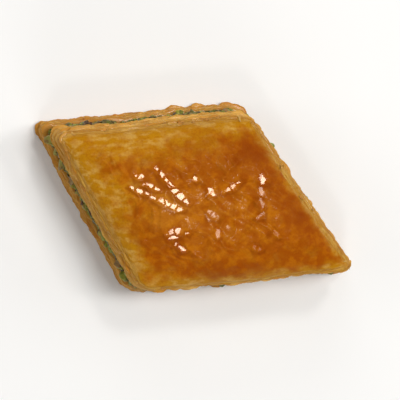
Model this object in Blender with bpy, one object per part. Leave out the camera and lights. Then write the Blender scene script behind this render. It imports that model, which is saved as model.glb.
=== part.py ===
"""A diamond-cut piece of baklava in metres, +Z up, resting on z = 0.

The piece is cut from a tray bake by four knife cuts. It is a stack of thin
pastry sheets, a layer of chopped pistachio, and a thicker stack of sheets
whose top is puffed, folded and falls away towards the cuts.
"""

import math
import random

import bmesh
import bpy
from mathutils import Matrix, Vector, noise

# The piece in plan: the long cuts run along X, the short cuts lean.
ROW_WIDTH = 0.0410
BACK_EDGE = 0.0484
FRONT_EDGE = 0.0532
LEFT_CUT_LEAN = math.radians(24.2)
CORNER_RADIUS = 0.0030
CUT_WANDER = 0.0006
CUT_WANDER_LENGTH = 0.0150

# Heights of the three layers at the cuts, and the gap that parts their solids.
BASE_HEIGHT = 0.0078
FILLING_HEIGHT = 0.0062
LID_HEIGHT = 0.0096
LAYER_GAP = 0.0003
LAYER_WAVE = 0.0005
LAYER_WAVE_LENGTH = 0.0130
CAP_SCALE = 0.86

# The cut sides lean in towards the top, and the sheets show there as ridges.
WALL_LEAN = 0.085
BASE_SHEETS = 5
LID_SHEETS = 6
SHEET_RIDGE = 0.00040
SHEET_FLARE = 0.0016
SHEET_FLARE_LENGTH = 0.0080
SHEET_FLARE_START = 0.15
SHEET_SAG = 0.00022

# The puffed top: its crown, its swells, and the folds of the topmost sheet.
CROWN_HEIGHT = 0.0052
CROWN_SQUARENESS = 3.0
CROWN_FULLNESS = 0.8
SWELL_HEIGHT = 0.0012
SWELL_LENGTH = 0.0110
FOLD_HEIGHT = 0.0004
FOLD_LENGTH = 0.0050
FOLD_SHARPNESS = 2.2
FOLD_WANDER = 0.0045
FOLD_WANDER_LENGTH = 0.0150
EDGE_DIP = 0.0010
EDGE_DIP_LENGTH = 0.0070

# Mesh cells along X and Y: of the lid, and of the two layers under it.
LID_CELLS = (43, 35)
LOWER_CELLS = (27, 22)

# The chopped nuts that show in the cut faces of the filling.
NUT_COUNT = 120
NUT_RADII = (0.0010, 0.0021)
NUT_CHIP = 0.26
NUT_SQUASH = (0.6, 0.95)
NUT_STANDOUT = (0.0, 0.35)
NUT_TRIES = 400
NUT_CROWDING = 0.86
NUT_CLEARANCE = 0.0007
CORE_INSET = 0.0016
SEED = 33

FILLING_BOTTOM = BASE_HEIGHT + LAYER_GAP
FILLING_TOP = FILLING_BOTTOM + FILLING_HEIGHT
LID_BOTTOM = FILLING_TOP + LAYER_GAP
LID_SHOULDER = LID_BOTTOM + LID_HEIGHT

# Which sheet of the noise each rule reads, and how far apart two sheets lie.
WAVE_NOISE, SWELL_NOISE, DRIFT_NOISE, FOLD_NOISE, DIP_NOISE, CUT_NOISE = range(1, 7)
BASE_NOISE, LID_NOISE = 10, 20
SAG_NOISE = 40
NOISE_STEP = 7.31

# Linear colour and roughness of the glazed lid, the soaked base and the nuts.
GLAZED = ((0.42, 0.135, 0.006, 1.0), 0.18)
SOAKED = ((0.36, 0.17, 0.035, 1.0), 0.45)
PISTACHIO = ((0.15, 0.16, 0.025, 1.0), 0.55)


def clear_scene():
    """Removes whatever the scene holds."""
    for obj in list(bpy.data.objects):
        bpy.data.objects.remove(obj, do_unlink=True)


def soft_noise(point, length, layer):
    """Smooth noise from about -1 to 1, with bumps about length apart."""
    depth = layer * NOISE_STEP
    return noise.noise(Vector((point[0] / length, point[1] / length, depth)))


def diamond_corners():
    """Plan corners, front left first, then round the piece."""
    lean = ROW_WIDTH * math.tan(LEFT_CUT_LEAN)
    reach = (lean + FRONT_EDGE) / 2
    front, back = -ROW_WIDTH / 2, ROW_WIDTH / 2
    return (
        Vector((lean - reach, front)),
        Vector((reach, front)),
        Vector((BACK_EDGE - reach, back)),
        Vector((-reach, back)),
    )


def blunted(u, v):
    """Moves shares u and v, each -1 to 1, so that the four corners are round."""
    share = 2 * CORNER_RADIUS / ROW_WIDTH
    past_u = (abs(u) - 1 + share) / share
    past_v = (abs(v) - 1 + share) / share
    if past_u <= 0 or past_v <= 0:
        return u, v
    round_u = past_u * math.sqrt(1 - past_v * past_v / 2)
    round_v = past_v * math.sqrt(1 - past_u * past_u / 2)
    return (
        math.copysign(1 + share * (round_u - 1), u),
        math.copysign(1 + share * (round_v - 1), v),
    )


def plan_point(u, v):
    """Place in plan of shares u, left to right, and v, front to back."""
    u, v = blunted(u, v)
    front_left, front_right, back_right, back_left = diamond_corners()
    front = front_left.lerp(front_right, (u + 1) / 2)
    back = back_left.lerp(back_right, (u + 1) / 2)
    return front.lerp(back, (v + 1) / 2)


def rim_shares(cells):
    """Shares u and v once round the rim, from the front left corner."""
    along, deep = cells
    front = [(2 * i / along - 1, -1.0) for i in range(along)]
    right = [(1.0, 2 * j / deep - 1) for j in range(deep)]
    back = [(-u, 1.0) for u, _ in front]
    left = [(-1.0, -v) for _, v in right]
    return front + right + back + left


def cut_rim(cells):
    """Places on the knife cuts, each with its outward direction in plan."""
    places = [plan_point(u, v) for u, v in rim_shares(cells)]
    rim = []
    for index, place in enumerate(places):
        run = places[(index + 1) % len(places)] - places[index - 1]
        outward = Vector((run.y, -run.x)).normalized()
        wander = CUT_WANDER * soft_noise(place, CUT_WANDER_LENGTH, CUT_NOISE)
        rim.append((place + outward * wander, outward))
    return rim


def layer_wave(place):
    """How far the layers rise or dip at a place on the cuts."""
    return LAYER_WAVE * soft_noise(place, LAYER_WAVE_LENGTH, WAVE_NOISE)


def sheet_standout(place, ring, rings, layer):
    """How far one ring of a cut side stands out: every other ring is a sheet's edge."""
    if ring in (0, rings):
        return 0.0
    if ring % 2 == 0:
        return -SHEET_RIDGE
    flare = soft_noise(place, SHEET_FLARE_LENGTH, layer + ring)
    return SHEET_RIDGE + SHEET_FLARE * max(0.0, flare - SHEET_FLARE_START)


def wall_rings(rim, low, high, sheets, layer, follow):
    """Rings of points up a cut side, from height low to high.

    layer picks the noise of its ragged edges. follow tells for the lowest and
    the highest ring whether it takes the layers' wave; the rings between them
    share the difference.
    """
    rings = 2 * sheets
    made = []
    for ring in range(rings + 1):
        share = ring / rings
        points = []
        for place, outward in rim:
            wave = layer_wave(place) * (follow[0] * (1 - share) + follow[1] * share)
            sag = soft_noise(place, SHEET_FLARE_LENGTH, SAG_NOISE + layer + ring)
            height = low + share * (high - low) + wave
            if 0 < ring < rings:
                height += SHEET_SAG * sag
            side = place + outward * (
                sheet_standout(place, ring, rings, layer) - WALL_LEAN * height
            )
            points.append(Vector((side.x, side.y, height)))
        made.append(points)
    return made


def crown(u, v):
    """Share of the crown's height at shares u and v of the piece."""
    across = 1 - abs(u) ** CROWN_SQUARENESS
    deep = 1 - abs(v) ** CROWN_SQUARENESS
    return max(0.0, across * deep) ** CROWN_FULLNESS


def folds(place):
    """Share of the folds' height: crests of the topmost sheet that wander and fork."""
    drift = FOLD_WANDER * soft_noise(place, FOLD_WANDER_LENGTH, DRIFT_NOISE)
    moved = (place[0] + drift, place[1] - drift)
    crest = 1 - abs(FOLD_SHARPNESS * soft_noise(moved, FOLD_LENGTH, FOLD_NOISE))
    return max(0.0, crest) ** 2


def top_height(u, v, place):
    """Height of the baked top above its rim, at shares u and v."""
    rise = crown(u, v)
    swell = SWELL_HEIGHT * soft_noise(place, SWELL_LENGTH, SWELL_NOISE)
    dip = EDGE_DIP * abs(soft_noise(place, EDGE_DIP_LENGTH, DIP_NOISE))
    return rise * (CROWN_HEIGHT + swell) + rise**2 * FOLD_HEIGHT * folds(place) - (
        (1 - rise) * dip
    )


def coons_patch(ring, cells, i, j):
    """Place inside a four-sided ring, blended from the sides' places."""
    along, deep = cells
    s, t = i / along, j / deep
    count = len(ring)
    front, right = ring[i], ring[along + j]
    back, left = ring[2 * along + deep - i], ring[(count - j) % count]
    corners = (ring[0], ring[along], ring[along + deep], ring[2 * along + deep])
    flat = corners[0].lerp(corners[1], s).lerp(corners[3].lerp(corners[2], s), t)
    return front.lerp(back, t) + left.lerp(right, s) - flat


def add_ring(mesh, points):
    """New vertices at the points of a ring."""
    return [mesh.verts.new(point) for point in points]


def bridge(mesh, lower, upper):
    """Quads between two rings that have as many vertices as each other."""
    for index in range(len(lower)):
        after = (index + 1) % len(lower)
        mesh.faces.new((lower[index], lower[after], upper[after], upper[index]))


def add_walls(mesh, rings):
    """Quads up all rings of a cut side; returns its lowest and highest ring."""
    vertices = [add_ring(mesh, points) for points in rings]
    for lower, upper in zip(vertices, vertices[1:]):
        bridge(mesh, lower, upper)
    return vertices[0], vertices[-1]


def add_cap(mesh, ring, height):
    """Closes a wavy ring with a sloped band and a flat face at a height."""
    inner = [Vector((v.co.x * CAP_SCALE, v.co.y * CAP_SCALE, height)) for v in ring]
    middle = add_ring(mesh, inner)
    bridge(mesh, ring, middle)
    mesh.faces.new(middle)


def add_baked_top(mesh, ring):
    """The puffed top: a grid that starts from the ring of the lid's shoulder."""
    along, deep = LID_CELLS
    plan = [vertex.co.copy() for vertex in ring]
    grid = {}
    for i in range(along + 1):
        for j in range(deep + 1):
            if j == 0:
                grid[i, j] = ring[i]
            elif i == along:
                grid[i, j] = ring[along + j]
            elif j == deep:
                grid[i, j] = ring[2 * along + deep - i]
            elif i == 0:
                grid[i, j] = ring[-j]
            else:
                grid[i, j] = mesh.verts.new(coons_patch(plan, LID_CELLS, i, j))
    for (i, j), vertex in grid.items():
        shares = (2 * i / along - 1, 2 * j / deep - 1)
        vertex.co.z += top_height(*shares, vertex.co.xy)
    for i in range(along):
        for j in range(deep):
            corners = ((i, j), (i + 1, j), (i + 1, j + 1), (i, j + 1))
            mesh.faces.new([grid[corner] for corner in corners])


def pastry_material(name, colour, roughness):
    """A Principled BSDF of one colour and roughness."""
    material = bpy.data.materials.new(name)
    material.use_nodes = True
    shader = material.node_tree.nodes["Principled BSDF"]
    shader.inputs["Base Color"].default_value = colour
    shader.inputs["Roughness"].default_value = roughness
    shader.inputs["Metallic"].default_value = 0.0
    return material


def add_object(mesh, name, look):
    """Links a bmesh as a named object with its own material."""
    bmesh.ops.recalc_face_normals(mesh, faces=mesh.faces)
    if mesh.calc_volume(signed=True) < 0:
        bmesh.ops.reverse_faces(mesh, faces=mesh.faces)
    data = bpy.data.meshes.new(name)
    mesh.to_mesh(data)
    mesh.free()
    data.shade_smooth()
    data.materials.append(pastry_material(name, *look))
    obj = bpy.data.objects.new(name, data)
    bpy.context.scene.collection.objects.link(obj)
    return obj


def make_base():
    """The lower stack of sheets, flat where it rests."""
    mesh = bmesh.new()
    rim = cut_rim(LOWER_CELLS)
    rings = wall_rings(rim, 0.0, BASE_HEIGHT, BASE_SHEETS, BASE_NOISE, follow=(0, 1))
    lowest, highest = add_walls(mesh, rings)
    mesh.faces.new(lowest)
    add_cap(mesh, highest, BASE_HEIGHT)
    return add_object(mesh, "bottom_pastry", SOAKED)


def make_lid():
    """The upper stack of sheets with its puffed and folded top."""
    mesh = bmesh.new()
    rim = cut_rim(LID_CELLS)
    heights = (LID_BOTTOM, LID_SHOULDER)
    rings = wall_rings(rim, *heights, LID_SHEETS, LID_NOISE, follow=(1, 1))
    lowest, highest = add_walls(mesh, rings)
    add_cap(mesh, lowest, LID_BOTTOM)
    add_baked_top(mesh, highest)
    return add_object(mesh, "top_pastry", GLAZED)


def make_filling_core():
    """The packed filling behind the nuts that show."""
    mesh = bmesh.new()
    rings = []
    for height in (FILLING_BOTTOM, FILLING_TOP):
        points = []
        for place, outward in cut_rim(LOWER_CELLS):
            side = place - outward * (CORE_INSET + WALL_LEAN * height)
            points.append(Vector((side.x, side.y, height + layer_wave(place))))
        rings.append(points)
    lowest, highest = add_walls(mesh, rings)
    add_cap(mesh, lowest, FILLING_BOTTOM)
    add_cap(mesh, highest, FILLING_TOP)
    return add_object(mesh, "nut_filling", PISTACHIO)


def make_nut(name, radius, draw):
    """A chopped nut: a chipped, squashed and turned icosahedron."""
    mesh = bmesh.new()
    bmesh.ops.create_icosphere(mesh, subdivisions=1, radius=radius)
    for vertex in mesh.verts:
        vertex.co *= 1 - draw.uniform(0, NUT_CHIP)
    width, height = draw.uniform(*NUT_SQUASH), draw.uniform(*NUT_SQUASH)
    squash = Matrix.Diagonal((1.0, width, height))
    turn = Matrix.Rotation(draw.uniform(0, math.tau), 3, draw.choice("XYZ"))
    mesh.transform((turn @ squash).to_4x4())
    data = bpy.data.meshes.new(name)
    mesh.to_mesh(data)
    mesh.free()
    return bpy.data.objects.new(name, data)


def nut_places(draw):
    """Centre and radius of each nut round the cuts, the largest placed first."""
    rim = cut_rim(LID_CELLS)
    placed = []
    for index in range(NUT_COUNT):
        radius = NUT_RADII[1] + (NUT_RADII[0] - NUT_RADII[1]) * index / (NUT_COUNT - 1)
        slack = max(0.0, FILLING_HEIGHT / 2 - radius - NUT_CLEARANCE)
        for _ in range(NUT_TRIES):
            place, outward = draw.choice(rim)
            height = (FILLING_BOTTOM + FILLING_TOP) / 2 + layer_wave(place)
            height += slack * draw.uniform(-1, 1)
            out = radius * draw.uniform(*NUT_STANDOUT) - CORE_INSET - WALL_LEAN * height
            side = place + outward * out
            centre = Vector((side.x, side.y, height))
            if all(
                (centre - other).length > NUT_CROWDING * (radius + far)
                for other, far in placed
            ):
                placed.append((centre, radius))
                break
    return placed


def apply_union(obj, collection):
    """Joins a collection to an object by one Boolean union, then removes it."""
    union = obj.modifiers.new("nuts", "BOOLEAN")
    union.operation = "UNION"
    union.operand_type = "COLLECTION"
    union.collection = collection
    union.solver = "MANIFOLD"
    bpy.context.view_layer.update()
    graph = bpy.context.evaluated_depsgraph_get()
    joined = bpy.data.meshes.new_from_object(obj.evaluated_get(graph))
    obj.modifiers.clear()
    obj.data = joined
    for nut in list(collection.objects):
        bpy.data.objects.remove(nut, do_unlink=True)
    bpy.data.collections.remove(collection)


def islands(mesh):
    """Groups of faces that are joined by their edges."""
    left = set(mesh.faces)
    while left:
        island, front = set(), [left.pop()]
        while front:
            face = front.pop()
            island.add(face)
            for edge in face.edges:
                for other in edge.link_faces:
                    if other in left:
                        left.discard(other)
                        front.append(other)
        yield island


def keep_outer_shell(obj):
    """Fills sealed hollows and drops scraps: only the largest island stays."""
    mesh = bmesh.new()
    mesh.from_mesh(obj.data)
    found = sorted(islands(mesh), key=len)
    inner = [face for island in found[:-1] for face in island]
    bmesh.ops.delete(mesh, geom=inner, context="FACES")
    mesh.to_mesh(obj.data)
    mesh.free()


def make_filling():
    """The layer of chopped pistachio, with the nuts that show fused to its core."""
    draw = random.Random(SEED)
    core = make_filling_core()
    nuts = bpy.data.collections.new("nuts")
    bpy.context.scene.collection.children.link(nuts)
    for index, (centre, radius) in enumerate(nut_places(draw)):
        nut = make_nut(f"nut_{index:02d}", radius, draw)
        nut.location = centre
        nuts.objects.link(nut)
    apply_union(core, nuts)
    keep_outer_shell(core)
    return core


def centre_on_origin(objects):
    """Moves all meshes together so that their box is centred on the Z axis."""
    points = [vertex.co for obj in objects for vertex in obj.data.vertices]
    shift = Vector((0, 0, 0))
    for axis in (0, 1):
        values = [point[axis] for point in points]
        shift[axis] = -(min(values) + max(values)) / 2
    for obj in objects:
        obj.data.transform(Matrix.Translation(shift))


def main():
    """Builds the three layers of the piece."""
    clear_scene()
    centre_on_origin([make_base(), make_filling(), make_lid()])


main()
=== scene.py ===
"""The looks of a diamond-cut piece of baklava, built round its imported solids.

The browned top, the thin sheets that show at the cuts and the chopped pistachio
between them stand for the solids of the three layers, and keep their form.
"""

from __future__ import annotations

import logging
import math
import random
from collections.abc import Iterable, Mapping, Sequence
from dataclasses import dataclass, field
from enum import Enum
from typing import Any

import bpy
import numpy as np
from mathutils import Matrix, Vector, noise


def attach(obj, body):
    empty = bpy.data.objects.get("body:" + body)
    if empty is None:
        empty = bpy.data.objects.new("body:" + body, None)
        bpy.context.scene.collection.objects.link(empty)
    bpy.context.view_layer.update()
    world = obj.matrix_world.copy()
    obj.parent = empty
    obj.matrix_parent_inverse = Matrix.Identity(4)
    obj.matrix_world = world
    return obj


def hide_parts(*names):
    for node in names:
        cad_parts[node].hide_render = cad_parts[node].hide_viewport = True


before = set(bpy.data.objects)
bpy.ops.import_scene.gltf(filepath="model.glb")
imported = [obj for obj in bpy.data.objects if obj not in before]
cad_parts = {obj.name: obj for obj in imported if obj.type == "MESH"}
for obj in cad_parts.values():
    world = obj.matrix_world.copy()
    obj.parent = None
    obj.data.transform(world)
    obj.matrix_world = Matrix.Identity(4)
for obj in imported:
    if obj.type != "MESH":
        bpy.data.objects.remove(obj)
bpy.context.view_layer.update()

log = logging.getLogger("baklava")

MM = 0.001
NOISE_STEP = 7.31
WALL_CELLS = (150, 118)
Colour = tuple[float, float, float]
Ring = list[Vector]


class NoiseSheet(Enum):
    """Which sheet of the noise each rule of the piece's form reads."""

    LAYER_WAVE = 1
    SWELL = 2
    FOLD_DRIFT = 3
    FOLD = 4
    EDGE_DIP = 5
    CUT = 6
    WRINKLE_DRIFT = 11
    WRINKLE = 12
    CRINKLE = 13
    TEAR = 14
    FINE_TEAR = 15
    CALM = 16
    BLISTER = 17
    BEND_ACROSS = 18
    BEND_DEEP = 19
    TERRACE = 30


def soft_noise(place: Sequence[float], length: float, sheet: NoiseSheet) -> float:
    """Smooth noise from about -1 to 1.

    Args:
        place: Point in plan, in metres.
        length: Size of one bump, in metres.
        sheet: Which sheet of the noise is read.

    Returns:
        The noise at that place.
    """
    level = sheet.value * NOISE_STEP
    return noise.noise(Vector((place[0] / length, place[1] / length, level)))


def spread_noise(
    x: np.ndarray, y: np.ndarray, length: float, sheet: NoiseSheet, above: int = 0
) -> np.ndarray:
    """Smooth noise from about -1 to 1 at many places in plan at once.

    Args:
        x: Places along X, in the same unit as the length.
        y: Places along Y.
        length: Size of one bump.
        sheet: Which sheet of the noise is read.
        above: How many sheets above that one it is.

    Returns:
        The noise at each place.
    """
    level = (sheet.value + above) * NOISE_STEP
    pairs = zip((x / length).ravel().tolist(), (y / length).ravel().tolist())
    values = [noise.noise((across, deep, level)) for across, deep in pairs]
    return np.array(values).reshape(x.shape)


def smooth_step(low: Any, high: Any, value: Any) -> Any:
    """Rises smoothly from 0 at low to 1 at high; takes numbers and arrays."""
    share = np.clip((value - low) / (high - low), 0.0, 1.0)
    return share * share * (3 - 2 * share)


class Cut(Enum):
    """The four knife cuts of the piece, as shares (u, v) of its plan."""

    FRONT = (0, -1)
    RIGHT = (1, 0)
    BACK = (0, 1)
    LEFT = (-1, 0)


def cut_weights(u: Any, v: Any) -> dict[Cut, Any]:
    """How much each cut counts at shares u and v of the piece.

    Args:
        u: Share from -1 at the left cut to 1 at the right one.
        v: Share from -1 at the front cut to 1 at the back one.

    Returns:
        A weight for each cut; the four add up to 1.
    """
    power, least = 4, 0.02
    raw = {}
    for cut in Cut:
        along, deep = cut.value
        raw[cut] = np.maximum(u * along + v * deep, least) ** power
    total = sum(raw.values())
    return {cut: value / total for cut, value in raw.items()}


@dataclass(frozen=True)
class DiamondPlan:
    """The piece in plan. The long cuts run along X, the short ones lean."""

    row_width: float = 41.0 * MM
    back_edge: float = 48.4 * MM
    front_edge: float = 53.2 * MM
    left_lean: float = math.radians(24.2)
    corner_radius: float = 3.0 * MM
    wander: float = 0.6 * MM
    wander_length: float = 15.0 * MM
    wall_lean: float = 0.085
    solid_cells: tuple[int, int] = (27, 22)

    def corners(self) -> tuple[Vector, Vector, Vector, Vector]:
        """Places of the sharp corners in plan.

        Returns:
            Front left, front right, back right and back left corner.
        """
        lean = self.row_width * math.tan(self.left_lean)
        reach = (lean + self.front_edge) / 2
        front, back = -self.row_width / 2, self.row_width / 2
        return (
            Vector((lean - reach, front)),
            Vector((reach, front)),
            Vector((self.back_edge - reach, back)),
            Vector((-reach, back)),
        )

    def blunted(self, u: float, v: float) -> tuple[float, float]:
        """Moves shares of the plan so that the four corners are round.

        Args:
            u: Share from the left cut to the right one.
            v: Share from the front cut to the back one.

        Returns:
            The moved shares.
        """
        share = 2 * self.corner_radius / self.row_width
        past_u = (abs(u) - 1 + share) / share
        past_v = (abs(v) - 1 + share) / share
        if past_u <= 0 or past_v <= 0:
            return u, v
        round_u = past_u * math.sqrt(1 - past_v * past_v / 2)
        round_v = past_v * math.sqrt(1 - past_u * past_u / 2)
        return (
            math.copysign(1 + share * (round_u - 1), u),
            math.copysign(1 + share * (round_v - 1), v),
        )

    def spread(self, u: float, v: float) -> Vector:
        """Place in plan of two shares, with sharp corners.

        Args:
            u: Share from the left cut to the right one.
            v: Share from the front cut to the back one.

        Returns:
            The place.
        """
        front_left, front_right, back_right, back_left = self.corners()
        front = front_left.lerp(front_right, (u + 1) / 2)
        back = back_left.lerp(back_right, (u + 1) / 2)
        return front.lerp(back, (v + 1) / 2)

    def place(self, u: float, v: float) -> Vector:
        """Place in plan of shares u, left to right, and v, front to back."""
        return self.spread(*self.blunted(u, v))

    def rim_shares(self, cells: tuple[int, int]) -> list[tuple[float, float]]:
        """Shares u and v of each step of the rim, from the front left corner.

        Args:
            cells: Steps along X and along Y.

        Returns:
            The shares, in the order of the cuts.
        """
        along, deep = cells
        front = [(2 * i / along - 1, -1.0) for i in range(along)]
        right = [(1.0, 2 * j / deep - 1) for j in range(deep)]
        return front + right + [(-u, 1.0) for u, _ in front] + [(-1.0, -v) for _, v in right]

    def rim(self, cells: tuple[int, int]) -> list[tuple[Vector, Vector]]:
        """The knife cuts, from the front left corner round the piece.

        Args:
            cells: Steps along X and along Y.

        Returns:
            For each step a place and its outward direction, in plan.
        """
        places = [self.place(u, v) for u, v in self.rim_shares(cells)]
        made = []
        for index, place in enumerate(places):
            run = places[(index + 1) % len(places)] - places[index - 1]
            outward = Vector((run.y, -run.x)).normalized()
            wander = self.wander * soft_noise(place, self.wander_length, NoiseSheet.CUT)
            made.append((place + outward * wander, outward))
        return made

    def leans(self, cells: tuple[int, int]) -> list[Vector]:
        """Ways inwards from the rim, which don't cross at a corner.

        Args:
            cells: Steps along X and along Y.

        Returns:
            For each step of the rim, how its place moves for an inset of 1.
        """
        across = 2 / (self.front_edge * math.cos(self.left_lean))
        back = 2 / self.row_width
        ways = []
        for u, v in self.rim_shares(cells):
            u, v = self.blunted(u, v)
            moved = self.spread(u * (1 - across * MM), v * (1 - back * MM))
            ways.append((moved - self.spread(u, v)) / MM)
        return ways

    def shift(self) -> Vector:
        """How far the solids lie from this plan, read from the lowest solid's foot.

        Returns:
            The way from the plan to the solids.
        """
        points = [v.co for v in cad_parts["bottom_pastry"].data.vertices]
        level = 0.01 * MM
        foot = [point for point in points if point.z < level]
        places = [place for place, _ in self.rim(self.solid_cells)]
        moved = [min(p[axis] for p in foot) - min(p[axis] for p in places) for axis in (0, 1)]
        return Vector((*moved, 0.0))


@dataclass(frozen=True)
class Layers:
    """Heights of the three layers at the cuts, and how they wave."""

    base_height: float = 7.8 * MM
    filling_height: float = 6.2 * MM
    lid_height: float = 9.6 * MM
    gap: float = 0.3 * MM
    wave: float = 0.5 * MM
    wave_length: float = 13.0 * MM
    edge_dip: float = 1.0 * MM
    edge_dip_length: float = 7.0 * MM

    @property
    def filling_bottom(self) -> float:
        """Height where the filling starts."""
        return self.base_height + self.gap

    @property
    def filling_top(self) -> float:
        """Height where the filling ends."""
        return self.filling_bottom + self.filling_height

    @property
    def lid_bottom(self) -> float:
        """Height where the upper sheets start."""
        return self.filling_top + self.gap

    @property
    def shoulder(self) -> float:
        """Height of the upper sheets' rim."""
        return self.lid_bottom + self.lid_height

    def wave_at(self, place: Sequence[float]) -> float:
        """How far the layers rise or dip at a place on the cuts."""
        return self.wave * soft_noise(place, self.wave_length, NoiseSheet.LAYER_WAVE)

    def dip_at(self, place: Sequence[float]) -> float:
        """How far the rim of the top sags at a place."""
        dip = soft_noise(place, self.edge_dip_length, NoiseSheet.EDGE_DIP)
        return self.edge_dip * abs(dip)


PLAN = DiamondPlan()
LAYERS = Layers()
SHIFT = PLAN.shift()


class Wiring:
    """Adds nodes to one shader or geometry tree, and links them."""

    def __init__(self, tree: bpy.types.NodeTree) -> None:
        """Takes the tree that the nodes go into."""
        self.tree = tree

    def add(
        self, kind: str, inputs: Mapping[Any, Any] | None = None, **settings: Any
    ) -> bpy.types.Node:
        """Adds one node.

        Args:
            kind: The node's type name.
            inputs: A value or an output socket for each named or numbered input.
            settings: Properties of the node itself.

        Returns:
            The new node.
        """
        node = self.tree.nodes.new(kind)
        for name, value in settings.items():
            setattr(node, name, value)
        for key, value in (inputs or {}).items():
            self.feed(node.inputs[key], value)
        return node

    def feed(self, socket: bpy.types.NodeSocket, value: Any) -> None:
        """Links an output socket to an input, or sets the input's value.

        Args:
            socket: The input.
            value: An output socket, a number, a vector or a colour.
        """
        if isinstance(value, bpy.types.NodeSocket):
            self.tree.links.new(value, socket)
        elif socket.type == "RGBA" and len(value) == 3:
            socket.default_value = (*value, 1.0)
        else:
            socket.default_value = value

    def math(self, operation: str, *values: Any, clamp: bool = False) -> bpy.types.NodeSocket:
        """Adds one Math node.

        Args:
            operation: What it does.
            values: What it is given.
            clamp: Whether the result is held between 0 and 1.

        Returns:
            Its output.
        """
        inputs = dict(enumerate(values))
        node = self.add("ShaderNodeMath", inputs, operation=operation, use_clamp=clamp)
        return node.outputs[0]

    def vector(self, operation: str, *values: Any) -> bpy.types.NodeSocket:
        """Adds one Vector Math node.

        Args:
            operation: What it does.
            values: What it is given.

        Returns:
            Its output, a number or a vector.
        """
        inputs = dict(enumerate(values))
        if operation == "SCALE":
            inputs = {0: values[0], "Scale": values[1]}
        node = self.add("ShaderNodeVectorMath", inputs, operation=operation)
        return node.outputs["Value" if operation in ("LENGTH", "DOT_PRODUCT") else "Vector"]

    def remap(
        self, value: Any, low: float, high: float, to: tuple[float, float] = (0, 1)
    ) -> bpy.types.NodeSocket:
        """Maps a range of values smoothly to another one.

        Args:
            value: What is mapped.
            low: The value that gives the first of the two results.
            high: The value that gives the second one.
            to: The two results.

        Returns:
            The mapped value.
        """
        inputs = {"Value": value, "From Min": low, "From Max": high}
        inputs |= {"To Min": to[0], "To Max": to[1]}
        node = self.add("ShaderNodeMapRange", inputs, interpolation_type="SMOOTHSTEP")
        return node.outputs[0]

    def noise_node(self, where: Any, size: float, detail: float, depth: Any) -> bpy.types.Node:
        """Adds one noise node.

        Args:
            where: The coordinates that it reads.
            size: Size of its features, in the unit of the coordinates.
            detail: How many finer noises are added.
            depth: Place along a fourth axis, if any.

        Returns:
            The node.
        """
        inputs = {"Vector": where, "Scale": 1 / size, "Detail": detail}
        if depth is None:
            return self.add("ShaderNodeTexNoise", inputs)
        inputs["W"] = depth
        return self.add("ShaderNodeTexNoise", inputs, noise_dimensions="4D")

    def noise(
        self, where: Any, size: float, detail: float = 2.0, depth: Any = None
    ) -> bpy.types.NodeSocket:
        """Noise of about 0 to 1."""
        return self.noise_node(where, size, detail, depth).outputs[0]

    def jitter(
        self, where: Any, size: float, detail: float = 2.0, depth: Any = None
    ) -> bpy.types.NodeSocket:
        """Noise of about -0.5 to 0.5 in each of three directions."""
        node = self.noise_node(where, size, detail, depth)
        return self.vector("SUBTRACT", node.outputs["Color"], (0.5, 0.5, 0.5))

    def mix(self, share: Any, first: Any, second: Any) -> bpy.types.NodeSocket:
        """Mixes two colours.

        Args:
            share: Share of the second colour.
            first: The first colour.
            second: The second colour.

        Returns:
            The mixed colour.
        """
        node = self.add("ShaderNodeMix", data_type="RGBA")
        shown = {socket.name: socket for socket in node.inputs if socket.enabled}
        self.feed(shown["Factor"], share)
        self.feed(shown["A"], first)
        self.feed(shown["B"], second)
        return next(socket for socket in node.outputs if socket.enabled)


class Look:
    """A new material with its shader, its wiring and its object coordinates."""

    def __init__(self, name: str) -> None:
        """Makes the material.

        Args:
            name: Name of the material.
        """
        self.material = bpy.data.materials.new(name)
        self.material.use_nodes = True
        tree = self.material.node_tree
        self.wires = Wiring(tree)
        self.shader = tree.nodes["Principled BSDF"]
        self.where = self.wires.add("ShaderNodeTexCoord").outputs["Object"]

    def attribute(self, name: str) -> bpy.types.NodeSocket:
        """A number stored on the mesh, by its attribute's name."""
        node = self.wires.add("ShaderNodeAttribute", attribute_name=name)
        return node.outputs["Fac"]

    def set(self, **values: Any) -> None:
        """Feeds the shader's inputs, with _ for each space of their names."""
        for name, value in values.items():
            self.wires.feed(self.shader.inputs[name.replace("_", " ")], value)

    def bump(self, height: Any, depth: float) -> None:
        """Bump of a depth in metres, from a height of 0 to 1."""
        inputs = {"Height": height, "Distance": depth, "Strength": 1.0}
        self.set(Normal=self.wires.add("ShaderNodeBump", inputs).outputs["Normal"])


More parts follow.
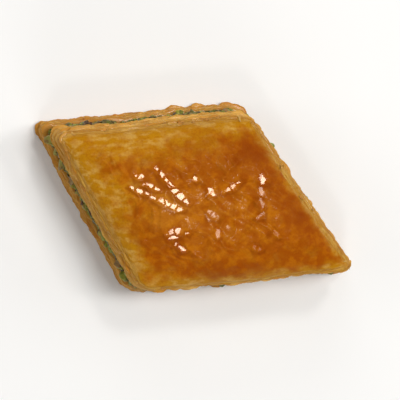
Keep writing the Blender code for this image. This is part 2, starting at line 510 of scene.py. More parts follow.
@dataclass(frozen=True)
class CrustFinish:
    """The baked top: caramel brown, golden margins, pale bared sheets, syrup glaze, painted
    highlight and shade.
    """

    browned: Colour = (0.322, 0.071, 0.001)
    amber: Colour = (0.480, 0.150, 0.002)
    golden: Colour = (0.465, 0.207, 0.005)
    straw: Colour = (0.600, 0.355, 0.080)
    toasted: Colour = (0.240, 0.040, 0.001)
    bared: Colour = (0.430, 0.220, 0.030)
    cream: Colour = (0.570, 0.340, 0.085)
    # painted shade: dark colour laid beside the syrup pools, where the wrinkles' shade falls
    crease: Colour = (0.220, 0.042, 0.001)
    # painted highlight: golden colour laid on the wrinkles' crests and round the glints
    ridge_highlight: Colour = (0.580, 0.260, 0.020)
    drift_size: float = 6.5 * MM
    cloud_size: float = 2.4 * MM
    patch_size: float = 2.1 * MM
    torn_size: float = 1.5 * MM
    torn_stretch: tuple[float, float, float] = (0.5, 1.0, 1.0)
    grain_size: float = 0.45 * MM
    relief: float = 0.035 * MM
    roughness: float = 0.5
    wet_roughness: float = 0.16
    specular: float = 0.16
    coat: float = 0.55
    coat_roughness: float = 0.13
    syrup: Colour = (1.0, 0.80, 0.45)
    sheen: Colour = (1.0, 0.62, 0.15)

    def colour(self, look: Look, cloud: Any, grain: Any) -> bpy.types.NodeSocket:
        """Mixes the colours of the crust by its own attributes, painted highlight and shade among
        them.

        Args:
            look: The material that is made.
            cloud: Its middling noise.
            grain: Its finest noise.

        Returns:
            The colour.
        """
        wires = look.wires
        drift = wires.noise(look.where, self.drift_size, detail=2.0)
        margin = wires.remap(cloud, 0.25, 0.75, (-0.24, 0.24))
        margin = wires.math("ADD", look.attribute("margin"), margin)
        margin = wires.math("ADD", margin, wires.remap(drift, 0.25, 0.75, (-0.20, 0.20)))
        drawn_out = wires.vector("MULTIPLY", look.where, self.torn_stretch)
        torn = wires.noise(drawn_out, self.torn_size, detail=5.0)
        fleck = wires.remap(torn, 0.44, 0.64, (0.0, 0.8))
        fleck = wires.math("MULTIPLY", fleck, margin, clamp=True)
        golden = wires.mix(fleck, self.golden, self.straw)
        patch = wires.noise(look.where, self.patch_size, detail=5.0)
        browned = wires.mix(wires.remap(patch, 0.44, 0.64, (0.0, 0.6)), self.browned, self.amber)
        colour = wires.mix(wires.remap(margin, 0.0, 1.0), browned, golden)
        toast = wires.remap(cloud, 0.2, 0.7, (0.6, 1.0))
        toast = wires.math("MULTIPLY", look.attribute("toast"), toast)
        colour = wires.mix(toast, colour, self.toasted)
        # Painted highlight on the wrinkles' crests and round the glints.
        colour = wires.mix(look.attribute("ridge_highlight"), colour, self.ridge_highlight)
        # Painted shade beside the syrup pools.
        colour = wires.mix(look.attribute("crease"), colour, self.crease)
        bared = wires.remap(grain, 0.25, 0.7, (0.7, 1.0))
        bared = wires.math("MULTIPLY", look.attribute("bared"), bared)
        bare_sheet = wires.mix(wires.remap(torn, 0.44, 0.60), self.bared, self.cream)
        colour = wires.mix(bared, colour, bare_sheet)
        colour = wires.mix(look.attribute("leaf_edge"), colour, self.golden)
        speckle = wires.remap(grain, 0.42, 0.72, (0.0, 0.26))
        return wires.mix(speckle, colour, self.toasted)

    def build(self) -> bpy.types.Material:
        """Makes the crust's finish.

        Returns:
            The material; it reads the crust's own attributes.
        """
        look = Look("baked_crust")
        wires = look.wires
        cloud = wires.noise(look.where, self.cloud_size, detail=4.0)
        grain = wires.noise(look.where, self.grain_size, detail=3.0)
        wet = look.attribute("wet")
        roughness = wires.remap(wet, 0.0, 0.8, (self.roughness, self.wet_roughness))
        look.set(Base_Color=self.colour(look, cloud, grain), Roughness=roughness)
        look.set(Specular_IOR_Level=self.specular, Specular_Tint=self.sheen)
        look.set(Coat_Weight=wires.math("MULTIPLY", wet, self.coat))
        look.set(Coat_Roughness=self.coat_roughness, Coat_Tint=self.syrup)
        rough = wires.math("ADD", grain, wires.math("MULTIPLY", cloud, 0.5))
        dry = wires.math("SUBTRACT", 1.0, wet, clamp=True)
        look.bump(wires.math("MULTIPLY", rough, dry), self.relief)
        return look.material


@dataclass(frozen=True)
class SheetFinish:
    """Thin pastry sheets at a cut: each sheet a little paler or browner, and painted shade between
    them.
    """

    name: str
    pale: Colour
    amber: Colour
    # deep: used for grain and streaks, and as painted shade on the inner part of each sheet's band
    deep: Colour
    top: Colour
    roughness: float
    glaze: float
    drift_size: float = 13.0 * MM
    drift_step: float = 3.7
    grain_size: float = 0.6 * MM
    streak_size: float = 2.6 * MM
    streak_stretch: tuple[float, float, float] = (1.0, 1.0, 0.16)
    specular: float = 0.3
    sheen: Colour = (1.0, 0.80, 0.52)
    glaze_roughness: float = 0.12
    glow: float = 0.12
    glow_colour: Colour = (2.0, 0.9, 0.3)
    glow_reach: float = 1.0 * MM
    relief: float = 0.05 * MM

    def build(self) -> bpy.types.Material:
        """Makes the sheets' finish.

        Returns:
            The material; it reads the sheets' numbers, level and reach.
        """
        look = Look(self.name)
        wires = look.wires
        depth = wires.math("MULTIPLY", look.attribute("sheet"), self.drift_step)
        drift = wires.noise(look.where, self.drift_size, detail=3.0, depth=depth)
        grain = wires.noise(look.where, self.grain_size, detail=3.0)
        colour = wires.mix(wires.remap(drift, 0.38, 0.62), self.pale, self.amber)
        level = wires.remap(drift, 0.3, 0.7, (-0.08, 0.08))
        level = wires.math("ADD", look.attribute("level"), level)
        colour = wires.mix(wires.remap(level, 0.78, 1.02, (0.0, 0.75)), colour, self.top)
        colour = wires.mix(wires.remap(level, 0.22, 0.0, (0.0, 0.6)), colour, self.amber)
        # Painted shade: darker towards the inner part of each sheet's band, between the sheets'
        # edges.
        inner_shade = wires.remap(look.attribute("reach"), 0.1, 0.85, (0.8, 0.0))
        colour = wires.mix(inner_shade, colour, self.deep)
        colour = wires.mix(wires.remap(grain, 0.5, 0.8, (0.0, 0.4)), colour, self.deep)
        upright = wires.vector("MULTIPLY", look.where, self.streak_stretch)
        streak = wires.noise(upright, self.streak_size, detail=4.0)
        colour = wires.mix(wires.remap(streak, 0.46, 0.70, (0.0, 0.38)), colour, self.deep)
        look.set(Base_Color=colour, Roughness=self.roughness)
        look.set(Specular_IOR_Level=self.specular, Specular_Tint=self.sheen)
        look.set(Coat_Weight=self.glaze, Coat_Roughness=self.glaze_roughness)
        look.set(Subsurface_Weight=self.glow, Subsurface_Radius=self.glow_colour)
        look.set(Subsurface_Scale=self.glow_reach)
        look.bump(grain, self.relief)
        return look.material


@dataclass(frozen=True)
class PackedFinish:
    """What lies packed behind the sheets or the nuts, dark and moist."""

    name: str
    dark: Colour
    light: Colour
    cloud_size: float = 1.2 * MM
    roughness: float = 0.5
    relief: float = 0.2 * MM

    def build(self) -> bpy.types.Material:
        """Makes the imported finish.

        Returns:
            The material.
        """
        look = Look(self.name)
        wires = look.wires
        cloud = wires.noise(look.where, self.cloud_size, detail=4.0)
        look.set(Base_Color=wires.mix(wires.remap(cloud, 0.3, 0.7), self.dark, self.light))
        look.set(Roughness=self.roughness)
        look.bump(cloud, self.relief)
        return look.material


@dataclass(frozen=True)
class PistachioFinish:
    """Chopped pistachio: purple-brown skin, green and yellow-green flesh, tan bits."""

    stops: tuple[tuple[float, Colour], ...] = (
        (0.00, (0.080, 0.028, 0.012)),
        (0.08, (0.120, 0.060, 0.014)),
        (0.28, (0.110, 0.105, 0.010)),
        (0.50, (0.165, 0.175, 0.012)),
        (0.72, (0.280, 0.290, 0.028)),
        (0.88, (0.360, 0.310, 0.070)),
        (1.00, (0.280, 0.160, 0.045)),
    )
    mottle_size: float = 1.5 * MM
    grain_size: float = 0.4 * MM
    roughness: float = 0.5
    specular: float = 0.25
    oil: float = 0.1
    oil_roughness: float = 0.12
    glow: float = 0.1
    glow_colour: Colour = (1.0, 0.9, 0.3)
    glow_reach: float = 0.6 * MM
    relief: float = 0.12 * MM

    def build(self) -> bpy.types.Material:
        """Makes the nuts' finish.

        Returns:
            The material; it reads the shade of each nut.
        """
        look = Look("chopped_pistachio")
        wires = look.wires
        cloud = wires.noise(look.where, self.mottle_size, detail=5.0)
        mottle = wires.remap(cloud, 0.36, 0.64, (-0.14, 0.14))
        shade = wires.math("ADD", look.attribute("shade"), mottle)
        node = wires.add("ShaderNodeValToRGB", {"Fac": shade})
        ramp = node.color_ramp
        while len(ramp.elements) < len(self.stops):
            ramp.elements.new(0.5)
        for element, (at, colour) in zip(ramp.elements, self.stops):
            element.position = at
            element.color = (*colour, 1.0)
        look.set(Base_Color=node.outputs["Color"], Roughness=self.roughness)
        look.set(Specular_IOR_Level=self.specular)
        look.set(Coat_Weight=self.oil, Coat_Roughness=self.oil_roughness)
        look.set(Subsurface_Weight=self.glow, Subsurface_Radius=self.glow_colour)
        look.set(Subsurface_Scale=self.glow_reach)
        look.bump(wires.noise(look.where, self.grain_size, detail=4.0), self.relief)
        return look.material


@dataclass(frozen=True)
class FlakeFinish:
    """Loose bits of broken sheet, from cream to toasted brown."""

    pale: Colour = (0.560, 0.350, 0.100)
    brown: Colour = (0.440, 0.170, 0.014)
    grain_size: float = 0.5 * MM
    relief: float = 0.04 * MM

    def build(self) -> bpy.types.Material:
        """Makes the flakes' finish.

        Returns:
            The material; it reads the shade of each flake.
        """
        look = Look("loose_flakes")
        wires = look.wires
        grain = wires.noise(look.where, self.grain_size, detail=2.0)
        look.set(Base_Color=wires.mix(look.attribute("shade"), self.pale, self.brown))
        look.set(Roughness=0.5, Specular_IOR_Level=0.3)
        look.bump(grain, self.relief)
        return look.material


@dataclass(frozen=True)
class FloorFinish:
    """A plain pale matt floor."""

    colour: Colour = (0.90, 0.935, 0.985)

    def build(self) -> bpy.types.Material:
        """Makes the floor's finish.

        Returns:
            The material.
        """
        look = Look("pale_floor")
        look.set(Base_Color=self.colour, Roughness=0.8, Specular_IOR_Level=0.2)
        return look.material


def piece_object(name: str, mesh: bpy.types.Mesh) -> bpy.types.Object:
    """Links a mesh as a new object at the origin.

    Args:
        name: Name of the object.
        mesh: Its mesh.

    Returns:
        The object.
    """
    obj = bpy.data.objects.new(name, mesh)
    bpy.context.scene.collection.objects.link(obj)
    return obj


def placed_mesh(
    name: str, vertices: Sequence[Sequence[float]], faces: Sequence[Sequence[int]]
) -> bpy.types.Mesh:
    """Makes a mesh and moves it to where the solids lie.

    Args:
        name: Name of the mesh.
        vertices: Its points, as the plan has them.
        faces: Its faces.

    Returns:
        The mesh.
    """
    mesh = bpy.data.meshes.new(name)
    mesh.from_pydata(vertices, [], faces)
    mesh.transform(Matrix.Translation(SHIFT))
    return mesh


def store_numbers(mesh: bpy.types.Mesh, name: str, values: Iterable[float]) -> None:
    """Stores one number for each vertex under an attribute's name."""
    attribute = mesh.attributes.new(name, "FLOAT", "POINT")
    attribute.data.foreach_set("value", np.fromiter(values, np.float32))


def store_vectors(mesh: bpy.types.Mesh, name: str, values: Iterable[Vector]) -> None:
    """Stores one direction for each vertex.

    Args:
        mesh: The mesh.
        name: The attribute's name.
        values: The directions, in the order of the vertices.
    """
    attribute = mesh.attributes.new(name, "FLOAT_VECTOR", "POINT")
    flat = np.array([tuple(value) for value in values], np.float32)
    attribute.data.foreach_set("vector", flat.ravel())


def ring_faces(first: int, second: int, count: int) -> list[tuple[int, int, int, int]]:
    """Quads between two rings of vertices.

    Args:
        first: Where the first ring starts.
        second: Where the second ring starts.
        count: How many vertices each ring has.

    Returns:
        The faces.
    """
    faces = []
    for index in range(count):
        after = (index + 1) % count
        faces.append((first + index, first + after, second + after, second + index))
    return faces


def ride_and_stand(obj: bpy.types.Object, node: str) -> None:
    """Lets a finished piece ride on the part, hides the CAD node that it replaces and logs its
    triangles.

    Args:
        obj: The piece.
        node: The CAD node that it replaces.
    """
    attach(obj, "root")
    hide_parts(node)
    triangles = sum(len(face.vertices) - 2 for face in obj.data.polygons)
    log.info("%s: %d triangles", obj.name, triangles)


class GrowTree:
    """A Geometry Nodes tree built in the script, with named inputs."""

    def __init__(self, name: str) -> None:
        """Starts a tree that takes and gives a geometry.

        Args:
            name: Name of the tree.
        """
        self.tree = bpy.data.node_groups.new(name, "GeometryNodeTree")
        for way in ("INPUT", "OUTPUT"):
            self.tree.interface.new_socket(
                "Geometry", in_out=way, socket_type="NodeSocketGeometry"
            )
        self.wires = Wiring(self.tree)
        self.source = self.wires.add("NodeGroupInput")
        self.values: dict[str, Any] = {}

    @property
    def geometry(self) -> bpy.types.NodeSocket:
        """The geometry that the tree is given."""
        return self.source.outputs["Geometry"]

    def size(
        self, name: str, value: Any, kind: str = "NodeSocketFloat"
    ) -> bpy.types.NodeSocket:
        """Adds a named input.

        Args:
            name: Its name.
            value: What the finished tree is given there.
            kind: Its type name.

        Returns:
            Its socket inside the tree.
        """
        self.tree.interface.new_socket(name, in_out="INPUT", socket_type=kind)
        self.values[name] = value
        return self.source.outputs[name]

    def named(self, name: str, kind: str = "FLOAT") -> bpy.types.NodeSocket:
        """Reads an attribute of the geometry by its name."""
        node = self.wires.add("GeometryNodeInputNamedAttribute", {"Name": name}, data_type=kind)
        return node.outputs[0]

    def place(self) -> bpy.types.NodeSocket:
        """Reads the place of each vertex."""
        return self.wires.add("GeometryNodeInputPosition").outputs[0]

    def index(self) -> bpy.types.NodeSocket:
        """Reads the number of each point."""
        return self.wires.add("GeometryNodeInputIndex").outputs[0]

    def scattered(self, density: Any, seed: Any) -> Any:
        """Scatters points over the faces of the tree's geometry; gives their outputs."""
        inputs = {"Mesh": self.geometry, "Density": density, "Seed": seed}
        return self.wires.add("GeometryNodeDistributePointsOnFaces", inputs).outputs

    def parts(self, vector: Any) -> Any:
        """Splits a vector into its X, Y and Z."""
        return self.wires.add("ShaderNodeSeparateXYZ", {0: vector}).outputs

    def upwards(self, height: Any) -> bpy.types.NodeSocket:
        """A vector that points up by a height."""
        return self.wires.add("ShaderNodeCombineXYZ", {"Z": height}).outputs[0]

    def moved(self, geometry: Any, offset: Any) -> bpy.types.NodeSocket:
        """Moves each vertex of a geometry by an offset."""
        inputs = {"Geometry": geometry, "Offset": offset}
        return self.wires.add("GeometryNodeSetPosition", inputs).outputs[0]

    def copied(self, points: Any, instance: Any, **inputs: Any) -> bpy.types.NodeSocket:
        """Copies a geometry onto points, with a turn and a size if they are given."""
        inputs |= {"Points": points, "Instance": instance}
        return self.wires.add("GeometryNodeInstanceOnPoints", inputs).outputs[0]

    def real(self, copies: Any) -> bpy.types.NodeSocket:
        """Makes copies a geometry of their own."""
        return self.wires.add("GeometryNodeRealizeInstances", {"Geometry": copies}).outputs[0]

    def random(
        self, low: Any, high: Any, seed: Any, kind: str = "FLOAT"
    ) -> bpy.types.NodeSocket:
        """A random number or vector for each element.

        Args:
            low: The lowest that it can be.
            high: The highest that it can be.
            seed: Seed of the draw.
            kind: Its type name.

        Returns:
            The number or vector.
        """
        node = self.wires.add("FunctionNodeRandomValue", data_type=kind)
        numbers = [socket for socket in node.inputs if socket.enabled]
        self.wires.feed(numbers[0], low)
        self.wires.feed(numbers[1], high)
        self.wires.feed(node.inputs["Seed"], seed)
        return next(socket for socket in node.outputs if socket.enabled)

    def store(self, geometry: Any, name: str, value: Any) -> bpy.types.NodeSocket:
        """Stores a number on each vertex.

        Args:
            geometry: The geometry.
            name: The attribute's name.
            value: The number.

        Returns:
            The geometry with the attribute.
        """
        inputs = {"Geometry": geometry, "Name": name}
        node = self.wires.add(
            "GeometryNodeStoreNamedAttribute", inputs, data_type="FLOAT", domain="POINT"
        )
        value_socket = next(s for s in node.inputs if s.name == "Value" and s.enabled)
        self.wires.feed(value_socket, value)
        return node.outputs[0]

    def finish(self, geometry: Any, material: bpy.types.Material) -> None:
        """Ends the tree in Realize Instances and Set Material.

        Args:
            geometry: What the tree has made.
            material: Its finish.
        """
        inputs = {"Geometry": self.real(geometry), "Material": material}
        dressed = self.wires.add("GeometryNodeSetMaterial", inputs)
        self.wires.add("NodeGroupOutput", {"Geometry": dressed.outputs[0]})

    def grow(self, name: str, seed_mesh: bpy.types.Mesh) -> bpy.types.Object:
        """Runs the tree on a mesh and keeps the result as a plain mesh.

        Args:
            name: Name of the new piece.
            seed_mesh: The mesh that the tree is given.

        Returns:
            The piece, with no modifier.
        """
        obj = piece_object(name, seed_mesh)
        modifier = obj.modifiers.new(self.tree.name, "NODES")
        modifier.node_group = self.tree
        for item in self.tree.interface.items_tree:
            if item.in_out == "INPUT" and item.name in self.values:
                modifier[item.identifier] = self.values[item.name]
        bpy.context.view_layer.update()
        graph = bpy.context.evaluated_depsgraph_get()
        grown = bpy.data.meshes.new_from_object(obj.evaluated_get(graph))
        obj.modifiers.clear()
        obj.data = grown
        grown.name = name
        return obj


@dataclass(frozen=True)
class Crease:
    """A short raised wrinkle of the crust that holds syrup, in plan, in mm."""

    start: tuple[float, float]
    end: tuple[float, float]
    width: float
    height: float
    wet: float = 1.0


@dataclass(frozen=True)
class Spot:
    """A soft round or long patch of the crust, in plan, in mm."""

    centre: tuple[float, float]
    reach: tuple[float, float]
    turn: float = 0.0
    strength: float = 1.0

    def weight(self, x: np.ndarray, y: np.ndarray) -> np.ndarray:
        """How much the patch counts at places in plan.

        Args:
            x: Places along X, in mm.
            y: Places along Y, in mm.

        Returns:
            A weight from 0 to the patch's strength for each place.
        """
        angle = math.radians(self.turn)
        far_x, far_y = x - self.centre[0], y - self.centre[1]
        along = (far_x * math.cos(angle) + far_y * math.sin(angle)) / self.reach[0]
        across = (far_y * math.cos(angle) - far_x * math.sin(angle)) / self.reach[1]
        return self.strength * np.exp(-(along**2 + across**2))


@dataclass(frozen=True)
class Pools:
    """The syrup's pools, as a value for each of the top's points."""

    cover: np.ndarray
    raised: np.ndarray
    shine: np.ndarray
    # painted shade beside the pools, as a share of its dark colour
    groove_shade: np.ndarray


@dataclass(frozen=True)
class SyrupCreases:
    """The creases of the crust, with small flat pools of syrup on them and painted shade beside
    them.

    Lengths in plan are in mm here; what is times MM is in metres, as everywhere.
    """

    creases: tuple[Crease, ...] = (
        Crease((-11.8, 9.2), (-5.8, 1.8), 0.62, 0.09),
        Crease((-16.4, 8.2), (-14.0, 6.9), 0.54, 0.08),
        Crease((-17.5, 5.4), (-13.0, 3.2), 0.54, 0.08),
        Crease((-13.1, 2.8), (-6.2, -0.9), 0.56, 0.09),
        Crease((-9.4, 5.0), (-4.8, 0.4), 0.52, 0.08),
        Crease((-14.3, 5.7), (-10.4, 4.1), 0.50, 0.08),
        Crease((-2.7, 6.2), (-2.4, 5.4), 0.56, 0.08, 0.8),
        Crease((-0.2, 3.1), (1.3, 1.8), 0.56, 0.08),
        Crease((3.5, 2.1), (7.8, 4.2), 0.56, 0.08, 0.7),
        Crease((12.5, 5.0), (12.6, 3.6), 0.95, 0.08),
        Crease((12.2, 2.4), (11.9, 0.6), 0.60, 0.07, 0.42),
        Crease((11.7, -0.2), (11.8, -2.2), 0.66, 0.07, 0.27),
        Crease((11.6, -3.2), (10.2, -4.2), 0.60, 0.07, 0.24),
        Crease((-0.7, -1.6), (1.3, -3.4), 0.65, 0.10, 0.4),
        Crease((0.8, -6.0), (1.0, -7.6), 0.65, 0.10, 0.35),
        Crease((-9.8, -5.6), (-7.0, -5.5), 0.78, 0.08),
        Crease((-9.5, -6.8), (-7.9, -6.7), 0.66, 0.08),
        Crease((-6.0, -6.4), (-5.0, -6.1), 0.42, 0.07, 0.6),
        Crease((-8.5, -8.2), (-8.0, -8.8), 0.46, 0.07, 0.7),
        Crease((-7.5, -9.0), (-6.1, -10.0), 0.64, 0.08),
        Crease((13.9, -7.1), (14.4, -9.0), 0.60, 0.08, 0.12),
        Crease((8.7, -10.4), (11.1, -11.3), 0.60, 0.08, 0.12),
    )
    facing: tuple[float, float] = (-0.030, -0.083)
    pool_length: float = 1.7
    most_raised: float = 0.45 * MM
    end_width: float = 0.78
    swelling: float = 0.55
    edge_power: int = 5
    neck: float = 0.5
    neck_reach: tuple[float, float] = (0.36, 0.5)
    # Where and how strongly the painted shade lies beside each crease.
    groove_shade_distance: float = 1.9
    groove_shade_softness: float = 0.6
    groove_shade_side: tuple[float, float] = (-0.2, 0.5)
    groove_shade_strength: float = 0.6
    bend: float = 0.55
    bend_length: float = 1.9 * MM

    def shape(
        self, crease: Crease, x: np.ndarray, y: np.ndarray, height: np.ndarray
    ) -> tuple[np.ndarray, ...]:
        """One crease as a row of small pools, with painted shade, a dark colour only, beside it.

        Args:
            crease: The crease.
            x: Places along X, in mm.
            y: Places along Y, in mm.
            height: How high the top lies at each place, in metres.

        Returns:
            Shares from 0 to 1 of the pools and of the painted shade beside them, then the height
            of the pools' flat surface at each place, in metres.
        """
        start, end = np.array(crease.start), np.array(crease.end)
        run = end - start
        length = float(np.hypot(*run))
        share = ((x - start[0]) * run[0] + (y - start[1]) * run[1]) / length**2
        held = np.clip(share, 0, 1)
        far_x = x - start[0] - held * run[0]
        far_y = y - start[1] - held * run[1]
        width = crease.width * (self.end_width + self.swelling * np.sin(math.pi * held))
        far = np.hypot(far_x, far_y) / width
        # Painted shade: a dark band of colour beside the crease, on its front side.
        groove_shade = np.exp(-((far - self.groove_shade_distance) ** 2) / self.groove_shade_softness)
        groove_shade *= smooth_step(*self.groove_shade_side, -far_y)

        pools = max(1, round(length / self.pool_length))
        number = np.minimum(np.floor(held * pools), pools - 1).astype(int)
        within = (held * pools - number - 0.5) / pools
        nearest = []
        for pool in range(pools):
            middle = start + run * (pool + 0.5) / pools
            nearest.append(int(np.argmin((x - middle[0]) ** 2 + (y - middle[1]) ** 2)))
        along_x, along_y = far_x + within * run[0], far_y + within * run[1]
        tilt = self.facing[0] * along_x + self.facing[1] * along_y
        level = height.ravel()[nearest][number] + (crease.height + tilt) * MM
        neck = self.neck * smooth_step(*self.neck_reach, abs(within) * pools) * (pools > 1)
        cover = np.exp(-(far**self.edge_power)) * (1 - neck)
        return cover, groove_shade * self.groove_shade_strength, level

    def fill(self, x: np.ndarray, y: np.ndarray, height: np.ndarray) -> Pools:
        """Fills all the creases with syrup, and lays the painted shade beside them.

        Args:
            x: Places along X, in metres.
            y: Places along Y, in metres.
            height: How high the top lies at each place, in metres.

        Returns:
            The pools.
        """
        bent_x = x / MM + self.bend * spread_noise(x, y, self.bend_length, NoiseSheet.BEND_ACROSS)
        bent_y = y / MM + self.bend * spread_noise(x, y, self.bend_length, NoiseSheet.BEND_DEEP)
        cover, raised, shine, groove_shade = (np.zeros(x.shape) for _ in range(4))
        for crease in self.creases:
            near, side, level = self.shape(crease, bent_x, bent_y, height)
            rise = np.clip(level - height, -self.most_raised, self.most_raised)
            raised = np.where(near > cover, near * rise, raised)
            cover = np.maximum(cover, near)
            shine = np.maximum(shine, crease.wet * near)
            groove_shade = np.maximum(groove_shade, side)
        return Pools(cover, raised, shine, groove_shade)


@dataclass(frozen=True)
class TopPlaces:
    """The top's points in plan, and what the rules of its relief read there."""

    u: np.ndarray
    v: np.ndarray
    x: np.ndarray
    y: np.ndarray
    from_cut: np.ndarray
    tear: np.ndarray
    middle: np.ndarray
    weights: dict[Cut, np.ndarray]


def strip_width(strips: Mapping[Cut, float], weights: Mapping[Cut, Any]) -> Any:
    """Width of a strip along the cuts, blended where two cuts meet."""
    return sum(weights[cut] * strips[cut] for cut in Cut)


def from_least(least: float, share: Any) -> Any:
    """Rises from a least value to 1 as a share rises from 0 to 1."""
    return least + (1 - least) * share


@dataclass
class GlazedCrust:
    """The puffed, wrinkled and browned top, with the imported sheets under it."""

    cells: tuple[int, int] = (300, 236)
    crown_height: float = 5.2 * MM
    squareness: float = 3.0
    fullness: float = 0.8
    swell_height: float = 1.2 * MM
    swell_length: float = 11.0 * MM
    fold_height: float = 0.4 * MM
    fold_length: float = 5.0 * MM
    fold_sharpness: float = 2.2
    fold_wander: float = 4.5 * MM
    fold_wander_length: float = 15.0 * MM
    wrinkle_height: float = 0.16 * MM
    wrinkle_length: float = 1.5 * MM
    wrinkle_sharpness: float = 2.4
    wrinkle_stretch: float = 2.2
    wrinkle_turn: float = math.radians(-36)
    wrinkle_wander: float = 1.3 * MM
    wrinkle_wander_length: float = 4.5 * MM
    calm_length: float = 7.0 * MM
    calm_reach: tuple[float, float] = (-0.3, 0.3)
    blister_height: float = 0.16 * MM
    blister_length: float = 2.7 * MM
    blister_reach: tuple[float, float] = (0.12, 0.6)
    blisters_at_cut: float = 0.35
    crinkle_height: float = 0.035 * MM
    crinkle_length: float = 0.62 * MM
    crinkle_sharpness: float = 2.0
    crinkles_at_cut: float = 0.4
    middle_reach: tuple[float, float] = (2.5 * MM, 9.0 * MM)
    tear_length: float = 2.4 * MM
    fine_tear: float = 0.5
    fine_tear_length: float = 0.9 * MM
    terraces: int = 4
    terrace_drop: float = 0.20 * MM
    terrace_slope: float = 0.20 * MM
    terrace_length: float = 1.9 * MM
    terrace_limit: float = 2.0
    ragged: float = 0.50 * MM
    shared_tear: float = 0.6
    own_tear: float = 0.8
    leaf_edge_inset: float = 0.1 * MM
    leaf_edge_width: float = 0.14 * MM
    leaf_edge_strength: float = 0.6
    bared_power: float = 0.7
    thickness: float = 0.20 * MM
    lip: tuple[tuple[float, float], ...] = ((0.04 * MM, 0.5), (0.30 * MM, 1.0))
    core_drop: float = 1.6
    core_inset: float = 1.30 * MM
    strip_spare: float = 0.3 * MM
    bare_strips: dict[Cut, float] = field(
        default_factory=lambda: {
            Cut.FRONT: 0.5 * MM,
            Cut.RIGHT: 2.5 * MM,
            Cut.BACK: 1.4 * MM,
            Cut.LEFT: 1.6 * MM,
        }
    )
    golden_strips: dict[Cut, float] = field(
        default_factory=lambda: {
            Cut.FRONT: 2.2 * MM,
            Cut.RIGHT: 4.0 * MM,
            Cut.BACK: 10.0 * MM,
            Cut.LEFT: 16.0 * MM,
        }
    )
    front_browning: float = 0.70
    browning_reach: tuple[float, float] = (0.7, -0.9)
    margin_reach: tuple[float, float] = (0.1, 1.1)
    margin_blend: float = 1.6 * MM
    margin_tear: float = 0.9 * MM
    margin_paleness: float = 0.7
    blister_toast: float = 0.22
    toasts: tuple[Spot, ...] = (
        Spot((9.0, 9.5), (8.0, 3.0), turn=8, strength=0.8),
        Spot((11.5, 11.5), (3.5, 2.6), turn=-20, strength=0.5),
        Spot((20.5, -6.0), (4.5, 3.4), turn=-50, strength=0.7),
        Spot((2.0, -16.5), (10.0, 3.2), turn=4, strength=0.45),
        Spot((13.5, 3.0), (2.0, 3.4), turn=-60, strength=0.5),
        Spot((-6.0, 7.0), (4.0, 2.0), turn=15, strength=0.3),
        Spot((-1.5, 13.5), (6.5, 2.6), turn=4, strength=0.5),
        Spot((-13.0, 10.5), (3.0, 1.6), turn=-35, strength=0.35),
        Spot((17.5, 0.5), (9.0, 2.0), turn=-58, strength=0.4),
    )
    # Painted golden highlight round the glints, strongest on the wrinkles' crests.
    golden_highlight: tuple[Spot, ...] = (
        Spot((-9.5, 1.2), (6.5, 3.4), turn=-32, strength=0.55),
        Spot((-11.5, -3.5), (3.0, 2.0), turn=-20, strength=0.35),
    )
    golden_highlight_between: float = 0.6
    centred: Spot = Spot((-2.0, -2.0), (math.sqrt(260.0), math.sqrt(90.0)))
    centred_shine: float = 0.55
    # Strength of the painted highlight on the crests near the middle.
    centred_ridge_highlight: float = 0.3
    syrup: SyrupCreases = SyrupCreases()

    def form(self, u: np.ndarray, v: np.ndarray, x: np.ndarray, y: np.ndarray) -> np.ndarray:
        """The solid's own top: its height above its rim.

        Args:
            u: Shares from the left cut to the right one.
            v: Shares from the front cut to the back one.
            x: Places along X, in metres.
            y: Places along Y, in metres.

        Returns:
            A height for each place, in metres.
        """
        sides = (1 - abs(u) ** self.squareness) * (1 - abs(v) ** self.squareness)
        rise = np.clip(sides, 0, None) ** self.fullness
        swell = self.swell_height * spread_noise(x, y, self.swell_length, NoiseSheet.SWELL)
        drift = spread_noise(x, y, self.fold_wander_length, NoiseSheet.FOLD_DRIFT)
        drift *= self.fold_wander
        swing = spread_noise(x + drift, y - drift, self.fold_length, NoiseSheet.FOLD)
        folds = self.fold_height * np.clip(1 - abs(self.fold_sharpness * swing), 0, None) ** 2
        dip = abs(spread_noise(x, y, LAYERS.edge_dip_length, NoiseSheet.EDGE_DIP))
        sag = (1 - rise) * LAYERS.edge_dip * dip
        return rise * (self.crown_height + swell) + rise**2 * folds - sag

    def shoulder_ring(self) -> Ring:
        """The rim of the top, as the solid has it."""
        ring = []
        for (place, _), inward in zip(PLAN.rim(self.cells), PLAN.leans(self.cells)):
            height = LAYERS.shoulder + LAYERS.wave_at(place)
            side = place + inward * (PLAN.wall_lean * height)
            ring.append(Vector((side.x, side.y, height)))
        return ring

    def grid(self, ring: Ring) -> np.ndarray:
        """Points of the top over the whole plan, blended from its rim.

        Args:
            ring: The rim, from the front left corner round the piece.

        Returns:
            An array of (along + 1, deep + 1, 3) in metres.
        """
        along, deep = self.cells
        edge = np.array([tuple(point) for point in ring])
        front = edge[: along + 1]
        right = edge[along : along + deep + 1]
        back = edge[along + deep : 2 * along + deep + 1][::-1]
        left = np.concatenate([edge[2 * along + deep :], edge[:1]])[::-1]
        s = np.linspace(0, 1, along + 1)[:, None, None]
        t = np.linspace(0, 1, deep + 1)[None, :, None]
        corners = (
            (1 - s) * (1 - t) * front[0]
            + s * (1 - t) * front[-1]
            + s * t * back[-1]
            + (1 - s) * t * back[0]
        )
        across = (1 - t) * front[:, None] + t * back[:, None]
        deepways = (1 - s) * left[None] + s * right[None]
        return across + deepways - corners

